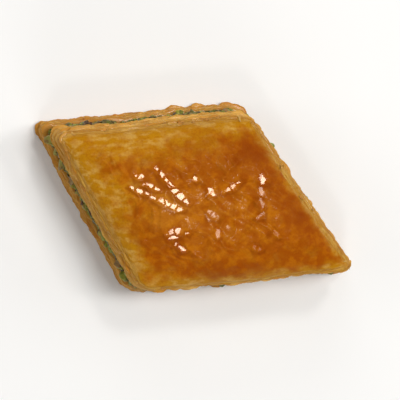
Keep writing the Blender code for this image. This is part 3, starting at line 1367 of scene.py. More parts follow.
    def places(self, points: np.ndarray) -> TopPlaces:
        """Reads what lies where on the top.

        Args:
            points: The top's points, before its relief.

        Returns:
            Their places, distances from the nearest cut and the like.
        """
        along, deep = self.cells
        across, deepways = np.linspace(-1, 1, along + 1), np.linspace(-1, 1, deep + 1)
        u, v = np.meshgrid(across, deepways, indexing="ij")
        x, y = points[..., 0], points[..., 1]
        half_x = PLAN.front_edge / 2 * math.cos(PLAN.left_lean)
        from_cut = np.minimum((1 - abs(u)) * half_x, (1 - abs(v)) * PLAN.row_width / 2)
        tear = spread_noise(x, y, self.tear_length, NoiseSheet.TEAR)
        tear += self.fine_tear * spread_noise(x, y, self.fine_tear_length, NoiseSheet.FINE_TEAR)
        middle = smooth_step(*self.middle_reach, from_cut)
        return TopPlaces(u, v, x, y, from_cut, tear, middle, cut_weights(u, v))

    def bared_sheets(self, at: TopPlaces) -> tuple[np.ndarray, np.ndarray]:
        """The steps down to the cuts, where the uppermost sheets have broken off.

        Args:
            at: The top's places.

        Returns:
            How many sheets are gone at each place, and how much of a torn edge it has.
        """
        bare = strip_width(self.bare_strips, at.weights)
        gone, leaf_edge = np.zeros(at.u.shape), np.zeros(at.u.shape)
        for step in range(self.terraces):
            own = spread_noise(at.x, at.y, self.terrace_length, NoiseSheet.TERRACE, above=step)
            torn = self.ragged * (self.shared_tear * at.tear + self.own_tear * own)
            line = bare * (step + 1) / self.terraces + torn
            past = at.from_cut - np.minimum(line, self.terrace_limit * bare)
            gone += 1 - smooth_step(0.0, self.terrace_slope, past)
            far = (past + self.leaf_edge_inset) / self.leaf_edge_width
            leaf_edge = np.maximum(leaf_edge, np.exp(-(far**2)))
        return gone, leaf_edge

    def wrinkles(self, at: TopPlaces) -> tuple[np.ndarray, np.ndarray]:
        """The wrinkles of the crust, and the finer crinkles on them.

        Args:
            at: The top's places.

        Returns:
            Shares of both heights for each place.
        """
        x, y = at.x, at.y
        drift = spread_noise(x, y, self.wrinkle_wander_length, NoiseSheet.WRINKLE_DRIFT)
        drift = self.wrinkle_wander * drift
        turned_x = x * math.cos(self.wrinkle_turn) + y * math.sin(self.wrinkle_turn)
        turned_y = y * math.cos(self.wrinkle_turn) - x * math.sin(self.wrinkle_turn) + drift
        drawn_x = turned_x / self.wrinkle_stretch
        swing = spread_noise(drawn_x, turned_y, self.wrinkle_length, NoiseSheet.WRINKLE)
        fine = spread_noise(x + drift, y, self.crinkle_length, NoiseSheet.CRINKLE)
        wrinkled = np.clip(1 - abs(self.wrinkle_sharpness * swing), 0, None) ** 2
        return wrinkled, np.clip(1 - abs(self.crinkle_sharpness * fine), 0, None)

    def blisters(self, at: TopPlaces) -> np.ndarray:
        """The blisters of the crust, fewer of them near the cuts.

        Args:
            at: The top's places.

        Returns:
            A share of their height for each place.
        """
        raised = spread_noise(at.x, at.y, self.blister_length, NoiseSheet.BLISTER)
        blister = smooth_step(*self.blister_reach, raised)
        return blister * from_least(self.blisters_at_cut, at.middle)

    def tints(
        self, at: TopPlaces, wrinkled: np.ndarray, blister: np.ndarray
    ) -> dict[str, np.ndarray]:
        """What the crust's finish reads: golden margin, toasted bits and the painted golden
        highlight on the crests.

        Args:
            at: The top's places.
            wrinkled: Share of the wrinkles' height at each of them.
            blister: Share of the blisters' height at each of them.

        Returns:
            A share from 0 to 1 for each place, by the attribute's name.
        """
        x_mm, y_mm = at.x / MM, at.y / MM
        golden = strip_width(self.golden_strips, at.weights)
        browning = smooth_step(*self.browning_reach, at.v)
        golden *= 1 - self.front_browning * at.weights[Cut.LEFT] * browning
        first, last = (share * golden for share in self.margin_reach)
        past = at.from_cut + self.margin_tear * at.tear
        margin = 1 - smooth_step(first, last + self.margin_blend, past)
        toast = np.clip(sum(spot.weight(x_mm, y_mm) for spot in self.toasts), 0, 1)
        toast = toast * (1 - self.margin_paleness * margin) + self.blister_toast * blister
        crests = np.sqrt(wrinkled)
        # Painted golden highlight round the glints and on the crests near the middle.
        golden_highlight = sum(spot.weight(x_mm, y_mm) for spot in self.golden_highlight)
        golden_highlight = golden_highlight * from_least(self.golden_highlight_between, crests)
        ridge_highlight = np.maximum(self.centred_ridge_highlight * self.centred.weight(x_mm, y_mm) * crests, golden_highlight)
        return {"margin": margin, "toast": np.clip(toast, 0, 1), "ridge_highlight": np.clip(ridge_highlight, 0, 1)}

    def build(self) -> bpy.types.Object:
        """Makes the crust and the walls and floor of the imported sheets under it.

        Returns:
            The finished piece.
        """
        points = self.grid(self.shoulder_ring())
        at = self.places(points)
        gone, leaf_edge = self.bared_sheets(at)
        wrinkled, crinkled = self.wrinkles(at)
        blister = self.blisters(at)
        calm = spread_noise(at.x, at.y, self.calm_length, NoiseSheet.CALM)
        active = at.middle * smooth_step(*self.calm_reach, calm)
        relief = active * self.wrinkle_height * wrinkled + self.blister_height * blister
        relief += from_least(self.crinkles_at_cut, at.middle) * self.crinkle_height * crinkled
        relief -= gone * self.terrace_drop
        points[..., 2] += self.form(at.u, at.v, at.x, at.y)
        pools = self.syrup.fill(at.x, at.y, points[..., 2])
        points[..., 2] += relief * (1 - pools.cover) + pools.raised
        centred = self.centred.weight(at.x / MM, at.y / MM)
        shine = np.maximum(pools.shine, self.centred_shine * centred * wrinkled**2)
        torn_edge = np.clip(leaf_edge * (gone > 0.5), 0, 1)
        numbers = self.tints(at, wrinkled, blister) | {
            "bared": np.clip(gone / self.terraces, 0, 1) ** self.bared_power,
            "leaf_edge": torn_edge * self.leaf_edge_strength,
            # Painted shade beside the syrup pools.
            "crease": np.clip(pools.groove_shade, 0, 1),
            "wet": np.clip(shine, 0, 1),
        }
        return self.close(points, numbers)

    def strip_shape(self, cells: tuple[int, int]) -> tuple[np.ndarray, np.ndarray]:
        """The bared strip round the top: its width, and how far the top climbs over it.

        Args:
            cells: Steps of the rim along X and along Y.

        Returns:
            A width and a climb for each step of the rim, in metres.
        """
        shares = np.array(PLAN.rim_shares(cells))
        weights = cut_weights(shares[:, 0], shares[:, 1])
        width = self.strip_spare + strip_width(self.bare_strips, weights)
        inner_u = shares[:, 0] * (1 - 2 * width / (PLAN.front_edge * math.cos(PLAN.left_lean)))
        inner_v = shares[:, 1] * (1 - 2 * width / PLAN.row_width)
        places = np.array([tuple(PLAN.place(u, v)) for u, v in zip(inner_u, inner_v)])
        rise = self.form(inner_u, inner_v, places[:, 0], places[:, 1])
        sag = self.form(shares[:, 0], shares[:, 1], places[:, 0], places[:, 1])
        return width, np.clip(rise - sag, 0.0, None)

    def close(self, points: np.ndarray, numbers: dict[str, np.ndarray]) -> bpy.types.Object:
        """Closes the top with a lip, inset walls and a floor.

        Args:
            points: The top's points.
            numbers: What is stored on each of them.

        Returns:
            The finished piece.
        """
        along, deep = self.cells
        index = np.arange((along + 1) * (deep + 1)).reshape(along + 1, deep + 1)
        quads = np.stack([index[:-1, :-1], index[1:, :-1], index[1:, 1:], index[:-1, 1:]], axis=-1)
        faces = [tuple(quad) for quad in quads.reshape(-1, 4).tolist()]
        vertices = [tuple(point) for point in points.reshape(-1, 3).tolist()]
        top_count = len(vertices)
        rim = [index[i, 0] for i in range(along)] + [index[along, j] for j in range(deep)]
        rim += [index[along - i, deep] for i in range(along)]
        rim += [index[0, deep - j] for j in range(deep)]
        rim = [int(i) for i in rim]
        count = len(rim)
        for number in range(count):
            after = (number + 1) % count
            faces.append((rim[after], rim[number], top_count + number, top_count + after))
        rings = self.lower_rings([vertices[i] for i in rim])
        for lower in range(len(rings) - 1):
            start = top_count + lower * count
            faces += [face[::-1] for face in ring_faces(start, start + count, count)]
        for ring in rings:
            vertices += ring
        faces.append(tuple(reversed(range(len(vertices) - count, len(vertices)))))
        mesh = placed_mesh("glazed_crust", vertices, faces)
        below = len(vertices) - top_count
        for name, values in numbers.items():
            under = 1.0 if name == "bared" else 0.0
            store_numbers(mesh, name, [*values.reshape(-1), *([under] * below)])
        mesh.shade_smooth()
        return piece_object("glazed_crust", mesh)

    def lower_rings(self, rim: Sequence[tuple[float, float, float]]) -> list[list[tuple]]:
        """Rings of the lip under the rim, of the wall's top and of its foot.

        Args:
            rim: The top's outermost points, in the order of the cuts.

        Returns:
            Four rings of points, the highest first.
        """
        cuts, leans = PLAN.rim(self.cells), PLAN.leans(self.cells)
        rings = []
        for inset, drop in (*self.lip, (self.core_inset, self.core_drop)):
            fall = drop * self.thickness
            ring = []
            for (x, y, z), inward in zip(rim, leans):
                ring.append((x + inward.x * inset, y + inward.y * inset, z - fall))
            rings.append(ring)
        foot = []
        for (place, _), inward in zip(cuts, leans):
            height = LAYERS.lid_bottom + LAYERS.wave_at(place) + self.thickness
            side = place + inward * (PLAN.wall_lean * height + self.core_inset)
            foot.append((side.x, side.y, height))
        return [*rings, foot]


@dataclass(frozen=True)
class Ripple:
    """A noise along the cuts that differs from sheet to sheet."""

    size: float
    step: float
    offset: float
    weight: float = 1.0


class StackTree(GrowTree):
    """The tree of a stack of sheets, with the noises of the sheets' edges."""

    def __init__(self, seed: float) -> None:
        """Starts the tree.

        Args:
            seed: A number that differs from stack to stack.
        """
        super().__init__("leaf_stack")
        self.seed = self.size("Seed", seed)
        self.flat = self.wires.vector("MULTIPLY", self.place(), (1.0, 1.0, 0.0))

    def ripple(self, kind: Ripple) -> bpy.types.NodeSocket:
        """Adds one of the noises.

        Args:
            kind: Which one.

        Returns:
            Its value, from about -0.5 to 0.5.
        """
        wires = self.wires
        shifted = wires.math("ADD", self.seed, kind.offset)
        depth = wires.math("MULTIPLY_ADD", self.named("sheet"), kind.step, shifted)
        return wires.math("SUBTRACT", wires.noise(self.flat, kind.size, 1.0, depth), 0.5)

    def rippled(self, kind: Ripple, size: Any, base: Any = 0.0) -> bpy.types.NodeSocket:
        """Adds one of the noises at a size to a base.

        Args:
            kind: The noise; its weight counts.
            size: The size.
            base: What it is added to.

        Returns:
            The sum.
        """
        weighed = self.wires.math("MULTIPLY", size, kind.weight)
        return self.wires.math("MULTIPLY_ADD", self.ripple(kind), weighed, base)


@dataclass
class SheetStack:
    """A stack of thin ragged sheets that show at the cuts, grown from one band."""

    name: str
    sheets: int
    low: float
    high: float
    follow: tuple[float, float]
    finish: SheetFinish
    top_dip: float = 0.0
    thickness: float = 0.19 * MM
    band: float = 3.0 * MM
    ragged: float = 0.50 * MM
    tear: float = 1.2 * MM
    flare: float = 1.4 * MM
    waviness: float = 0.34 * MM
    seed: float = 0.0
    strip: tuple[Sequence[float], Sequence[float]] | None = None
    cells: tuple[int, int] = WALL_CELLS
    broad_rag: Ripple = Ripple(5.0 * MM, 3.3, 0.0, 2.6)
    fine_rag: Ripple = Ripple(1.3 * MM, 7.7, 40.0, 1.3)
    torn: Ripple = Ripple(3.4 * MM, 5.1, 20.0)
    torn_reach: tuple[float, float] = (0.10, 0.22)
    flared: Ripple = Ripple(8.0 * MM, 2.3, 60.0, 4.0)
    flared_from: float = 0.10
    wave: Ripple = Ripple(6.0 * MM, 1.9, 80.0, 1.6)
    crimp: Ripple = Ripple(1.6 * MM, 4.9, 95.0, 0.5)
    uneven: Ripple = Ripple(22.0 * MM, 9.1, 130.0, 4.5)
    dip_power: float = 2.0
    climb_power: float = 0.85

    def profile(self) -> tuple[tuple[float, float, float], ...]:
        """One sheet cut across, from its underside round its edge to its upper side.

        Returns:
            For each point its inset, its height and its share of the sheet's waves.
        """
        half = self.thickness / 2
        halfway = 0.45 * self.band
        return (
            (self.band, -half, 0.0),
            (halfway, -half, 0.45),
            (0.20 * MM, -half, 0.92),
            (0.0, -0.3 * half, 1.0),
            (0.03 * MM, 0.5 * half, 1.0),
            (0.30 * MM, half, 0.90),
            (halfway, half, 0.45),
            (self.band, half, 0.0),
        )

    def band_mesh(self) -> bpy.types.Mesh:
        """One sheet's edge as a closed band round the cuts, at height zero."""
        cuts, leans = PLAN.rim(self.cells), PLAN.leans(self.cells)
        vertices, outwards, inwards, reach = [], [], [], []
        for inset, level, share in self.profile():
            for (place, outward), inward in zip(cuts, leans):
                side = place + inward * inset
                vertices.append((side.x, side.y, level))
                outwards.append(Vector((outward.x, outward.y, 0)))
                inwards.append(Vector((inward.x, inward.y, 0)))
                reach.append(share)
        count = len(cuts)
        rows = len(self.profile())
        numbers = {"reach": reach}
        numbers["ride"] = [LAYERS.wave_at(place) for place, _ in cuts] * rows
        numbers["dip"] = [LAYERS.dip_at(place) for place, _ in cuts] * rows
        if self.strip:
            numbers["strip"] = list(self.strip[0]) * rows
            numbers["climb"] = list(self.strip[1]) * rows
        faces = []
        for row in range(rows):
            below, above = row * count, (row + 1) % rows * count
            faces += [face[::-1] for face in ring_faces(below, above, count)]
        mesh = bpy.data.meshes.new(self.name)
        mesh.from_pydata(vertices, [], faces)
        store_vectors(mesh, "outward", outwards)
        store_vectors(mesh, "inward", inwards)
        for name, values in numbers.items():
            store_numbers(mesh, name, values)
        mesh.shade_smooth()
        return mesh

    def copies(self, tree: StackTree, rise: Any) -> bpy.types.NodeSocket:
        """Stacks numbered copies of the band.

        Args:
            tree: The stack's tree.
            rise: Height from one sheet to the next.

        Returns:
            All the sheets, with their numbers and their levels from 0 to 1.
        """
        wires = tree.wires
        sheets = tree.size("Sheets", self.sheets, "NodeSocketInt")
        start = tree.upwards(tree.size("Low", self.low))
        inputs = {"Count": sheets, "Offset": tree.upwards(rise), "Start Location": start}
        line = wires.add("GeometryNodeMeshLine", inputs).outputs[0]
        index = tree.index()
        numbered = tree.store(line, "sheet", index)
        last = wires.math("SUBTRACT", sheets, 1.0)
        numbered = tree.store(numbered, "level", wires.math("DIVIDE", index, last))
        return tree.real(tree.copied(numbered, tree.geometry))

    def outwards(self, tree: StackTree) -> bpy.types.NodeSocket:
        """How far each sheet's edge stands out of the cut: ragged, torn and flared.

        Args:
            tree: The stack's tree.

        Returns:
            The way outwards.
        """
        wires = tree.wires
        ragged = tree.size("Ragged", self.ragged)
        out = tree.rippled(self.broad_rag, ragged)
        out = tree.rippled(self.fine_rag, ragged, out)
        torn = wires.remap(tree.ripple(self.torn), *self.torn_reach)
        torn = wires.math("MULTIPLY", torn, tree.size("Tear", self.tear))
        out = wires.math("SUBTRACT", out, torn)
        flared = wires.math("SUBTRACT", tree.ripple(self.flared), self.flared_from)
        flared = wires.math("MAXIMUM", flared, 0.0)
        flare = wires.math("MULTIPLY", tree.size("Flare", self.flare), self.flared.weight)
        out = wires.math("MULTIPLY_ADD", flared, flare, out)
        return wires.math("MULTIPLY", out, tree.named("reach"))

    def lift(self, tree: StackTree, rise: Any) -> bpy.types.NodeSocket:
        """How far each sheet's edge is lifted: waved, crimped, and along with its layer.

        Args:
            tree: The stack's tree.
            rise: Height from one sheet to the next.

        Returns:
            The lift.
        """
        wires = tree.wires
        level, sheet = tree.named("level"), tree.named("sheet")
        free = wires.math("MULTIPLY", wires.remap(sheet, 0.0, 2.0), tree.named("reach"))
        wave = wires.math("MULTIPLY", tree.ripple(self.wave), self.wave.weight)
        crimp = wires.math("MULTIPLY", tree.ripple(self.crimp), self.crimp.weight)
        wave = wires.math("ADD", wave, crimp)
        waviness = tree.size("Waviness", self.waviness)
        lift = wires.math("MULTIPLY_ADD", wave, waviness, tree.rippled(self.uneven, rise))
        lift = wires.math("MULTIPLY", lift, free)
        low, high = self.follow
        follow = wires.math("MULTIPLY_ADD", level, high - low, low)
        lift = wires.math("MULTIPLY_ADD", tree.named("ride"), follow, lift)
        sag = wires.math("POWER", level, self.dip_power)
        sag = wires.math("MULTIPLY", tree.named("dip"), sag)
        sag = wires.math("MULTIPLY", sag, tree.size("Top Dip", self.top_dip))
        lift = wires.math("SUBTRACT", lift, sag)
        climb = wires.math("POWER", level, self.climb_power)
        return wires.math("MULTIPLY_ADD", tree.named("climb"), climb, lift)

    def build(self) -> bpy.types.Object:
        """Grows the stack.

        Returns:
            The piece.
        """
        tree = StackTree(self.seed)
        wires = tree.wires
        rise = tree.size("Rise", (self.high - self.low) / (self.sheets - 1))
        stacked = self.copies(tree, rise)
        outward, inward = (tree.named(name, "FLOAT_VECTOR") for name in ("outward", "inward"))
        offset = wires.vector("SCALE", outward, self.outwards(tree))
        offset = wires.vector("ADD", offset, tree.upwards(self.lift(tree, rise)))
        lean = wires.math("MULTIPLY", tree.parts(tree.place())["Z"], PLAN.wall_lean)
        lean = wires.math("MULTIPLY_ADD", tree.named("strip"), tree.named("level"), lean)
        offset = wires.vector("ADD", offset, wires.vector("SCALE", inward, lean))
        tree.finish(tree.moved(stacked, offset), self.finish.build())
        obj = tree.grow(self.name, self.band_mesh())
        obj.data.transform(Matrix.Translation(SHIFT))
        return obj


class FlakeDraw(Enum):
    """Seeds of what is drawn for each loose flake."""

    SHADE = 21
    TILT = 22
    SQUASH = 23
    SIZE = 24


@dataclass
class LooseFlakes:
    """Small curled flakes of sheet that broke off along the knife cuts."""

    density: float = 1.6e5
    reach: tuple[float, float] = (0.35 * MM, 1.05 * MM)
    length: float = 1.6
    width: float = 1.1
    thin: float = 0.07
    curl: float = 0.42
    lift: float = 0.20 * MM
    bared_reach: tuple[float, float] = (0.1, 0.6)
    upright: float = 0.35
    torn_size: float = 1 / 1.7
    torn: tuple[float, float, float] = (1.3, 1.3, 0.0)
    most_tilt: Vector = field(default_factory=lambda: Vector((0.35, 0.35, 3.1)))
    least_squash: tuple[float, float, float] = (0.5, 0.35, 0.8)
    most_squash: tuple[float, float, float] = (1.0, 1.0, 1.1)
    seed: int = 12

    def flake(self, tree: GrowTree) -> bpy.types.NodeSocket:
        """One curled flake with a torn outline, about 1 in size.

        Args:
            tree: The flakes' tree.

        Returns:
            The flake.
        """
        wires = tree.wires
        curl = tree.size("Curl", self.curl)
        size = (self.length, self.width, self.thin)
        sheet = {"Size": size, "Vertices X": 6, "Vertices Y": 5, "Vertices Z": 2}
        flat = wires.add("GeometryNodeMeshCube", sheet).outputs[0]
        where = tree.place()
        parts = tree.parts(where)
        bent = wires.math("MULTIPLY", wires.math("MULTIPLY", parts["X"], parts["X"]), curl)
        twist = wires.math("MULTIPLY", wires.math("MULTIPLY", parts["Y"], parts["X"]), curl)
        bent = wires.math("SUBTRACT", bent, twist)
        torn = wires.vector("MULTIPLY", wires.jitter(where, self.torn_size), self.torn)
        return tree.moved(flat, wires.vector("ADD", torn, tree.upwards(bent)))

    def build(self, crust: bpy.types.Object) -> bpy.types.Object:
        """Grows the flakes over the crust, where its sheets are bared.

        Args:
            crust: The finished crust.

        Returns:
            The piece.
        """
        tree = GrowTree("loose_flakes")
        wires = tree.wires
        density = tree.size("Density", self.density)
        seed = tree.size("Seed", self.seed, "NodeSocketInt")
        where_bared = wires.remap(tree.named("bared"), *self.bared_reach)
        normal = wires.add("GeometryNodeInputNormal").outputs[0]
        upward = wires.math("GREATER_THAN", tree.parts(normal)["Z"], self.upright)
        density = wires.math("MULTIPLY", density, wires.math("MULTIPLY", where_bared, upward))
        spread = tree.scattered(density, seed)
        shade = tree.random(0.0, 1.0, FlakeDraw.SHADE.value)
        points = tree.store(spread["Points"], "shade", shade)
        lift = tree.size("Lift", self.lift)
        points = tree.moved(points, wires.vector("SCALE", spread["Normal"], lift))
        spin = tree.random(-self.most_tilt, self.most_tilt, FlakeDraw.TILT.value, "FLOAT_VECTOR")
        inputs = {0: spread["Rotation"], 1: spin}
        turn = wires.add("FunctionNodeRotateRotation", inputs, rotation_space="LOCAL").outputs[0]
        squash = tree.random(
            self.least_squash, self.most_squash, FlakeDraw.SQUASH.value, "FLOAT_VECTOR"
        )
        size = wires.vector("SCALE", squash, tree.random(*self.reach, FlakeDraw.SIZE.value))
        flakes = tree.copied(points, self.flake(tree), Rotation=turn, Scale=size)
        tree.finish(flakes, FlakeFinish().build())
        return tree.grow("loose_flakes", crust.data.copy())


@dataclass(frozen=True)
class BumpyWall:
    """A bumpy wall round one layer, some way behind the cuts."""

    low: float
    high: float
    inset: float
    follow: tuple[float, float] = (1.0, 1.0)
    bumps: float = 0.25 * MM
    bump_length: float = 1.7 * MM
    rings: int = 14
    cells: tuple[int, int] = WALL_CELLS

    def points(self) -> list[Ring]:
        """Rings of points from the wall's foot to its top."""
        cuts, leans = PLAN.rim(self.cells), PLAN.leans(self.cells)
        first, last = self.follow
        rings = []
        for number in range(self.rings + 1):
            share = number / self.rings
            ring = []
            for (place, outward), inward in zip(cuts, leans):
                wave = LAYERS.wave_at(place) * (first * (1 - share) + last * share)
                height = self.low + share * (self.high - self.low) + wave
                solid = Vector((*place, height)) / self.bump_length
                rough = self.bumps * noise.noise(solid)
                side = place + outward * rough + inward * (self.inset + PLAN.wall_lean * height)
                ring.append(Vector((side.x, side.y, height)))
            rings.append(ring)
        return rings

    def mesh(self, name: str, closed: bool) -> bpy.types.Mesh:
        """The wall as a mesh, where the solids lie.

        Args:
            name: Name of the mesh.
            closed: Whether it has a floor and a lid.

        Returns:
            The mesh.
        """
        rings = self.points()
        vertices = [tuple(point) for ring in rings for point in ring]
        count = len(rings[0])
        faces = []
        for row in range(self.rings):
            faces += ring_faces(row * count, (row + 1) * count, count)
        if closed:
            faces.append(tuple(reversed(range(count))))
            faces.append(tuple(range(len(vertices) - count, len(vertices))))
        return placed_mesh(name, vertices, faces)

    def core(self, name: str, finish: PackedFinish) -> bpy.types.Object:
        """Makes the closed core behind the sheets' edges or the nuts of the layer.

        Args:
            name: Name of the piece.
            finish: Its finish.

        Returns:
            The piece.
        """
        mesh = self.mesh(name, closed=True)
        mesh.shade_smooth()
        mesh.materials.append(finish.build())
        return piece_object(name, mesh)


class NutDraw(Enum):
    """Seeds of what is drawn for each chopped nut."""

    SHADE = 3
    TURN = 5
    SQUASH = 9


@dataclass
class NutFilling:
    """The chopped pistachio between the two stacks of sheets."""

    core_inset: float = 1.2 * MM
    core_bumps: float = 0.5 * MM
    core_overlap: float = 0.2 * MM
    wall_inset: float = 0.95 * MM
    wall_bumps: float = 1.0 * MM
    wall_clearance: float = 0.2 * MM
    solid_inset: float = 1.6 * MM
    solid_cells: tuple[int, int] = (43, 35)
    large_count: int = 120
    large_radii: tuple[float, float] = (1.0 * MM, 2.1 * MM)
    standout: tuple[float, float] = (0.0, 0.35)
    crowding: float = 0.86
    clearance: float = 0.7 * MM
    tries: int = 400
    draw_seed: int = 33
    small_radii: tuple[float, float] = (0.28 * MM, 0.95 * MM)
    small_density: float = 1.7e6
    small_seed: int = 7
    large_chip: float = 0.34
    small_chip: float = 0.66
    chip_size: float = 0.9
    chip_depth: float = 3.2
    chip_step: float = 5.3
    least_squash: tuple[float, float, float] = (0.62, 0.55, 0.75)
    most_squash: tuple[float, float, float] = (1.0, 0.95, 1.25)
    full_turn: float = 6.28
    chisel_cuts: int = 9
    chisel_levels: tuple[float, float] = (0.5, 0.8)
    chisel_seed: int = 4
    block_size: float = 1.5
    rounding: float = 0.5

    def core(self) -> bpy.types.Object:
        """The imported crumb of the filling, from sheet to sheet."""
        wall = BumpyWall(
            LAYERS.filling_bottom - self.core_overlap,
            LAYERS.filling_top + self.core_overlap,
            self.core_inset,
            bumps=self.core_bumps,
        )
        finish = PackedFinish("pistachio_crumb", (0.060, 0.035, 0.006), (0.150, 0.100, 0.016))
        return wall.core("nut_crumb", finish)

    def large_places(self) -> list[tuple[Vector, float]]:
        """Centre and radius of each large nut, where its solid has it."""
        draw = random.Random(self.draw_seed)
        cuts = zip(PLAN.rim(self.solid_cells), PLAN.leans(self.solid_cells))
        rim = [(place, outward, inward) for (place, outward), inward in cuts]
        small, large = self.large_radii
        middle = (LAYERS.filling_bottom + LAYERS.filling_top) / 2
        drawn: list[tuple[Vector, float]] = []
        placed: list[tuple[Vector, float]] = []
        for index in range(self.large_count):
            radius = large + (small - large) * index / (self.large_count - 1)
            slack = max(0.0, LAYERS.filling_height / 2 - radius - self.clearance)
            for _ in range(self.tries):
                place, outward, inward = draw.choice(rim)
                height = middle + LAYERS.wave_at(place)
                height += slack * draw.uniform(-1, 1)
                out = radius * draw.uniform(*self.standout) - self.solid_inset
                out -= PLAN.wall_lean * height
                side = place + outward * out
                centre = Vector((side.x, side.y, height))
                if all(
                    (centre - other).length > self.crowding * (radius + far)
                    for other, far in drawn
                ):
                    drawn.append((centre, radius))
                    side = place - inward * out
                    placed.append((Vector((side.x, side.y, height)), radius))
                    break
        return placed

    def chiselled(self, tree: GrowTree) -> bpy.types.NodeSocket:
        """A finely meshed kernel of radius 1 with flats cut off it.

        Args:
            tree: The nuts' tree.

        Returns:
            The kernel.
        """
        wires = tree.wires
        ball = {"Radius": 1.0, "Subdivisions": 4}
        shape = wires.add("GeometryNodeMeshIcoSphere", ball).outputs[0]
        draw = random.Random(self.chisel_seed)
        for _ in range(self.chisel_cuts):
            way = Vector([draw.uniform(-1, 1) for _ in range(3)]).normalized()
            level = wires.vector("DOT_PRODUCT", tree.place(), tuple(way))
            past = wires.math("SUBTRACT", level, draw.uniform(*self.chisel_levels))
            past = wires.math("MAXIMUM", past, 0.0)
            back = wires.vector("SCALE", tuple(way), wires.math("MULTIPLY", past, -1.0))
            shape = tree.moved(shape, back)
        return shape

    def rounded(self, tree: GrowTree) -> bpy.types.NodeSocket:
        """A coarsely meshed kernel of about radius 1, half way from block to ball.

        Args:
            tree: The nuts' tree.

        Returns:
            The kernel.
        """
        wires = tree.wires
        size = (self.block_size,) * 3
        block = {"Size": size, "Vertices X": 3, "Vertices Y": 3, "Vertices Z": 3}
        shape = wires.add("GeometryNodeMeshCube", block).outputs[0]
        where = tree.place()
        round_off = wires.vector("SUBTRACT", wires.vector("NORMALIZE", where), where)
        return tree.moved(shape, wires.vector("SCALE", round_off, self.rounding))

    def chopped(
        self, tree: GrowTree, points: Any, kernel: Any, chip: float
    ) -> bpy.types.NodeSocket:
        """Chopped nuts on points, each with its own turn, size and chipped form.

        Args:
            tree: The tree that grows them.
            points: The points, with a radius each.
            kernel: The plain form that each nut is chipped from, of radius 1.
            chip: How deeply it is chipped, as a share of its radius.

        Returns:
            The nuts.
        """
        wires = tree.wires
        points = tree.store(points, "shade", tree.random(0.0, 1.0, NutDraw.SHADE.value))
        points = tree.store(points, "nut", tree.index())
        turned = (self.full_turn,) * 3
        turn = tree.random((0.0, 0.0, 0.0), turned, NutDraw.TURN.value, "FLOAT_VECTOR")
        squash = tree.random(
            self.least_squash, self.most_squash, NutDraw.SQUASH.value, "FLOAT_VECTOR"
        )
        radius = tree.named("radius")
        size = wires.vector("SCALE", squash, radius)
        nuts = tree.real(tree.copied(points, kernel, Rotation=turn, Scale=size))
        depth = wires.math("MULTIPLY", tree.named("nut"), self.chip_step)
        scaled = wires.math("DIVIDE", self.chip_size, radius)
        scaled = wires.vector("SCALE", tree.place(), scaled)
        rough = wires.jitter(scaled, 1.0, 1.5, depth)
        chipped = wires.math("MULTIPLY", radius, tree.size("Chip", chip))
        chipped = wires.math("MULTIPLY", chipped, self.chip_depth)
        return tree.moved(nuts, wires.vector("SCALE", rough, chipped))

    def large_nuts(self, finish: bpy.types.Material) -> bpy.types.Object:
        """The large pieces of nut that stand out of the cuts.

        Args:
            finish: The nuts' material.

        Returns:
            The piece.
        """
        places = self.large_places()
        mesh = placed_mesh("nut_places", [tuple(centre) for centre, _ in places], [])
        store_numbers(mesh, "radius", [radius for _, radius in places])
        tree = GrowTree("large_nuts")
        kernel = self.chiselled(tree)
        tree.finish(self.chopped(tree, tree.geometry, kernel, self.large_chip), finish)
        return tree.grow("large_nuts", mesh)

    def small_nuts(self, finish: bpy.types.Material) -> bpy.types.Object:
        """The small chopped bits that fill the cuts between the large ones.

        Args:
            finish: The nuts' material.

        Returns:
            The piece.
        """
        wall = BumpyWall(
            LAYERS.filling_bottom + self.wall_clearance,
            LAYERS.filling_top - self.wall_clearance,
            self.wall_inset,
            bumps=self.wall_bumps,
        )
        tree = GrowTree("small_nuts")
        seed = tree.size("Seed", self.small_seed, "NodeSocketInt")
        density = tree.size("Density", self.small_density)
        radius = tree.random(*self.small_radii, seed)
        points = tree.store(tree.scattered(density, seed)["Points"], "radius", radius)
        kernel = self.rounded(tree)
        tree.finish(self.chopped(tree, points, kernel, self.small_chip), finish)
        return tree.grow("small_nuts", wall.mesh("nut_wall", closed=False))


@dataclass(frozen=True)
class Lamp:
    """One square lamp that faces the piece, in metres and watts."""

    name: str
    place: tuple[float, float, float]
    size: float
    power: float
    colour: Colour

    def hang(self) -> None:
        """Hangs the lamp."""
        light = bpy.data.lights.new(self.name, "AREA")
        light.size = self.size
        light.energy = self.power
        light.color = self.colour
        place = Vector(self.place)
        obj = bpy.data.objects.new(self.name, light)
        obj.location = place
        obj.rotation_euler = (-place).to_track_quat("-Z", "Y").to_euler()
        bpy.context.scene.collection.objects.link(obj)


WARM = (1.0, 0.93, 0.84)
PLAIN = (1.0, 0.96, 0.90)


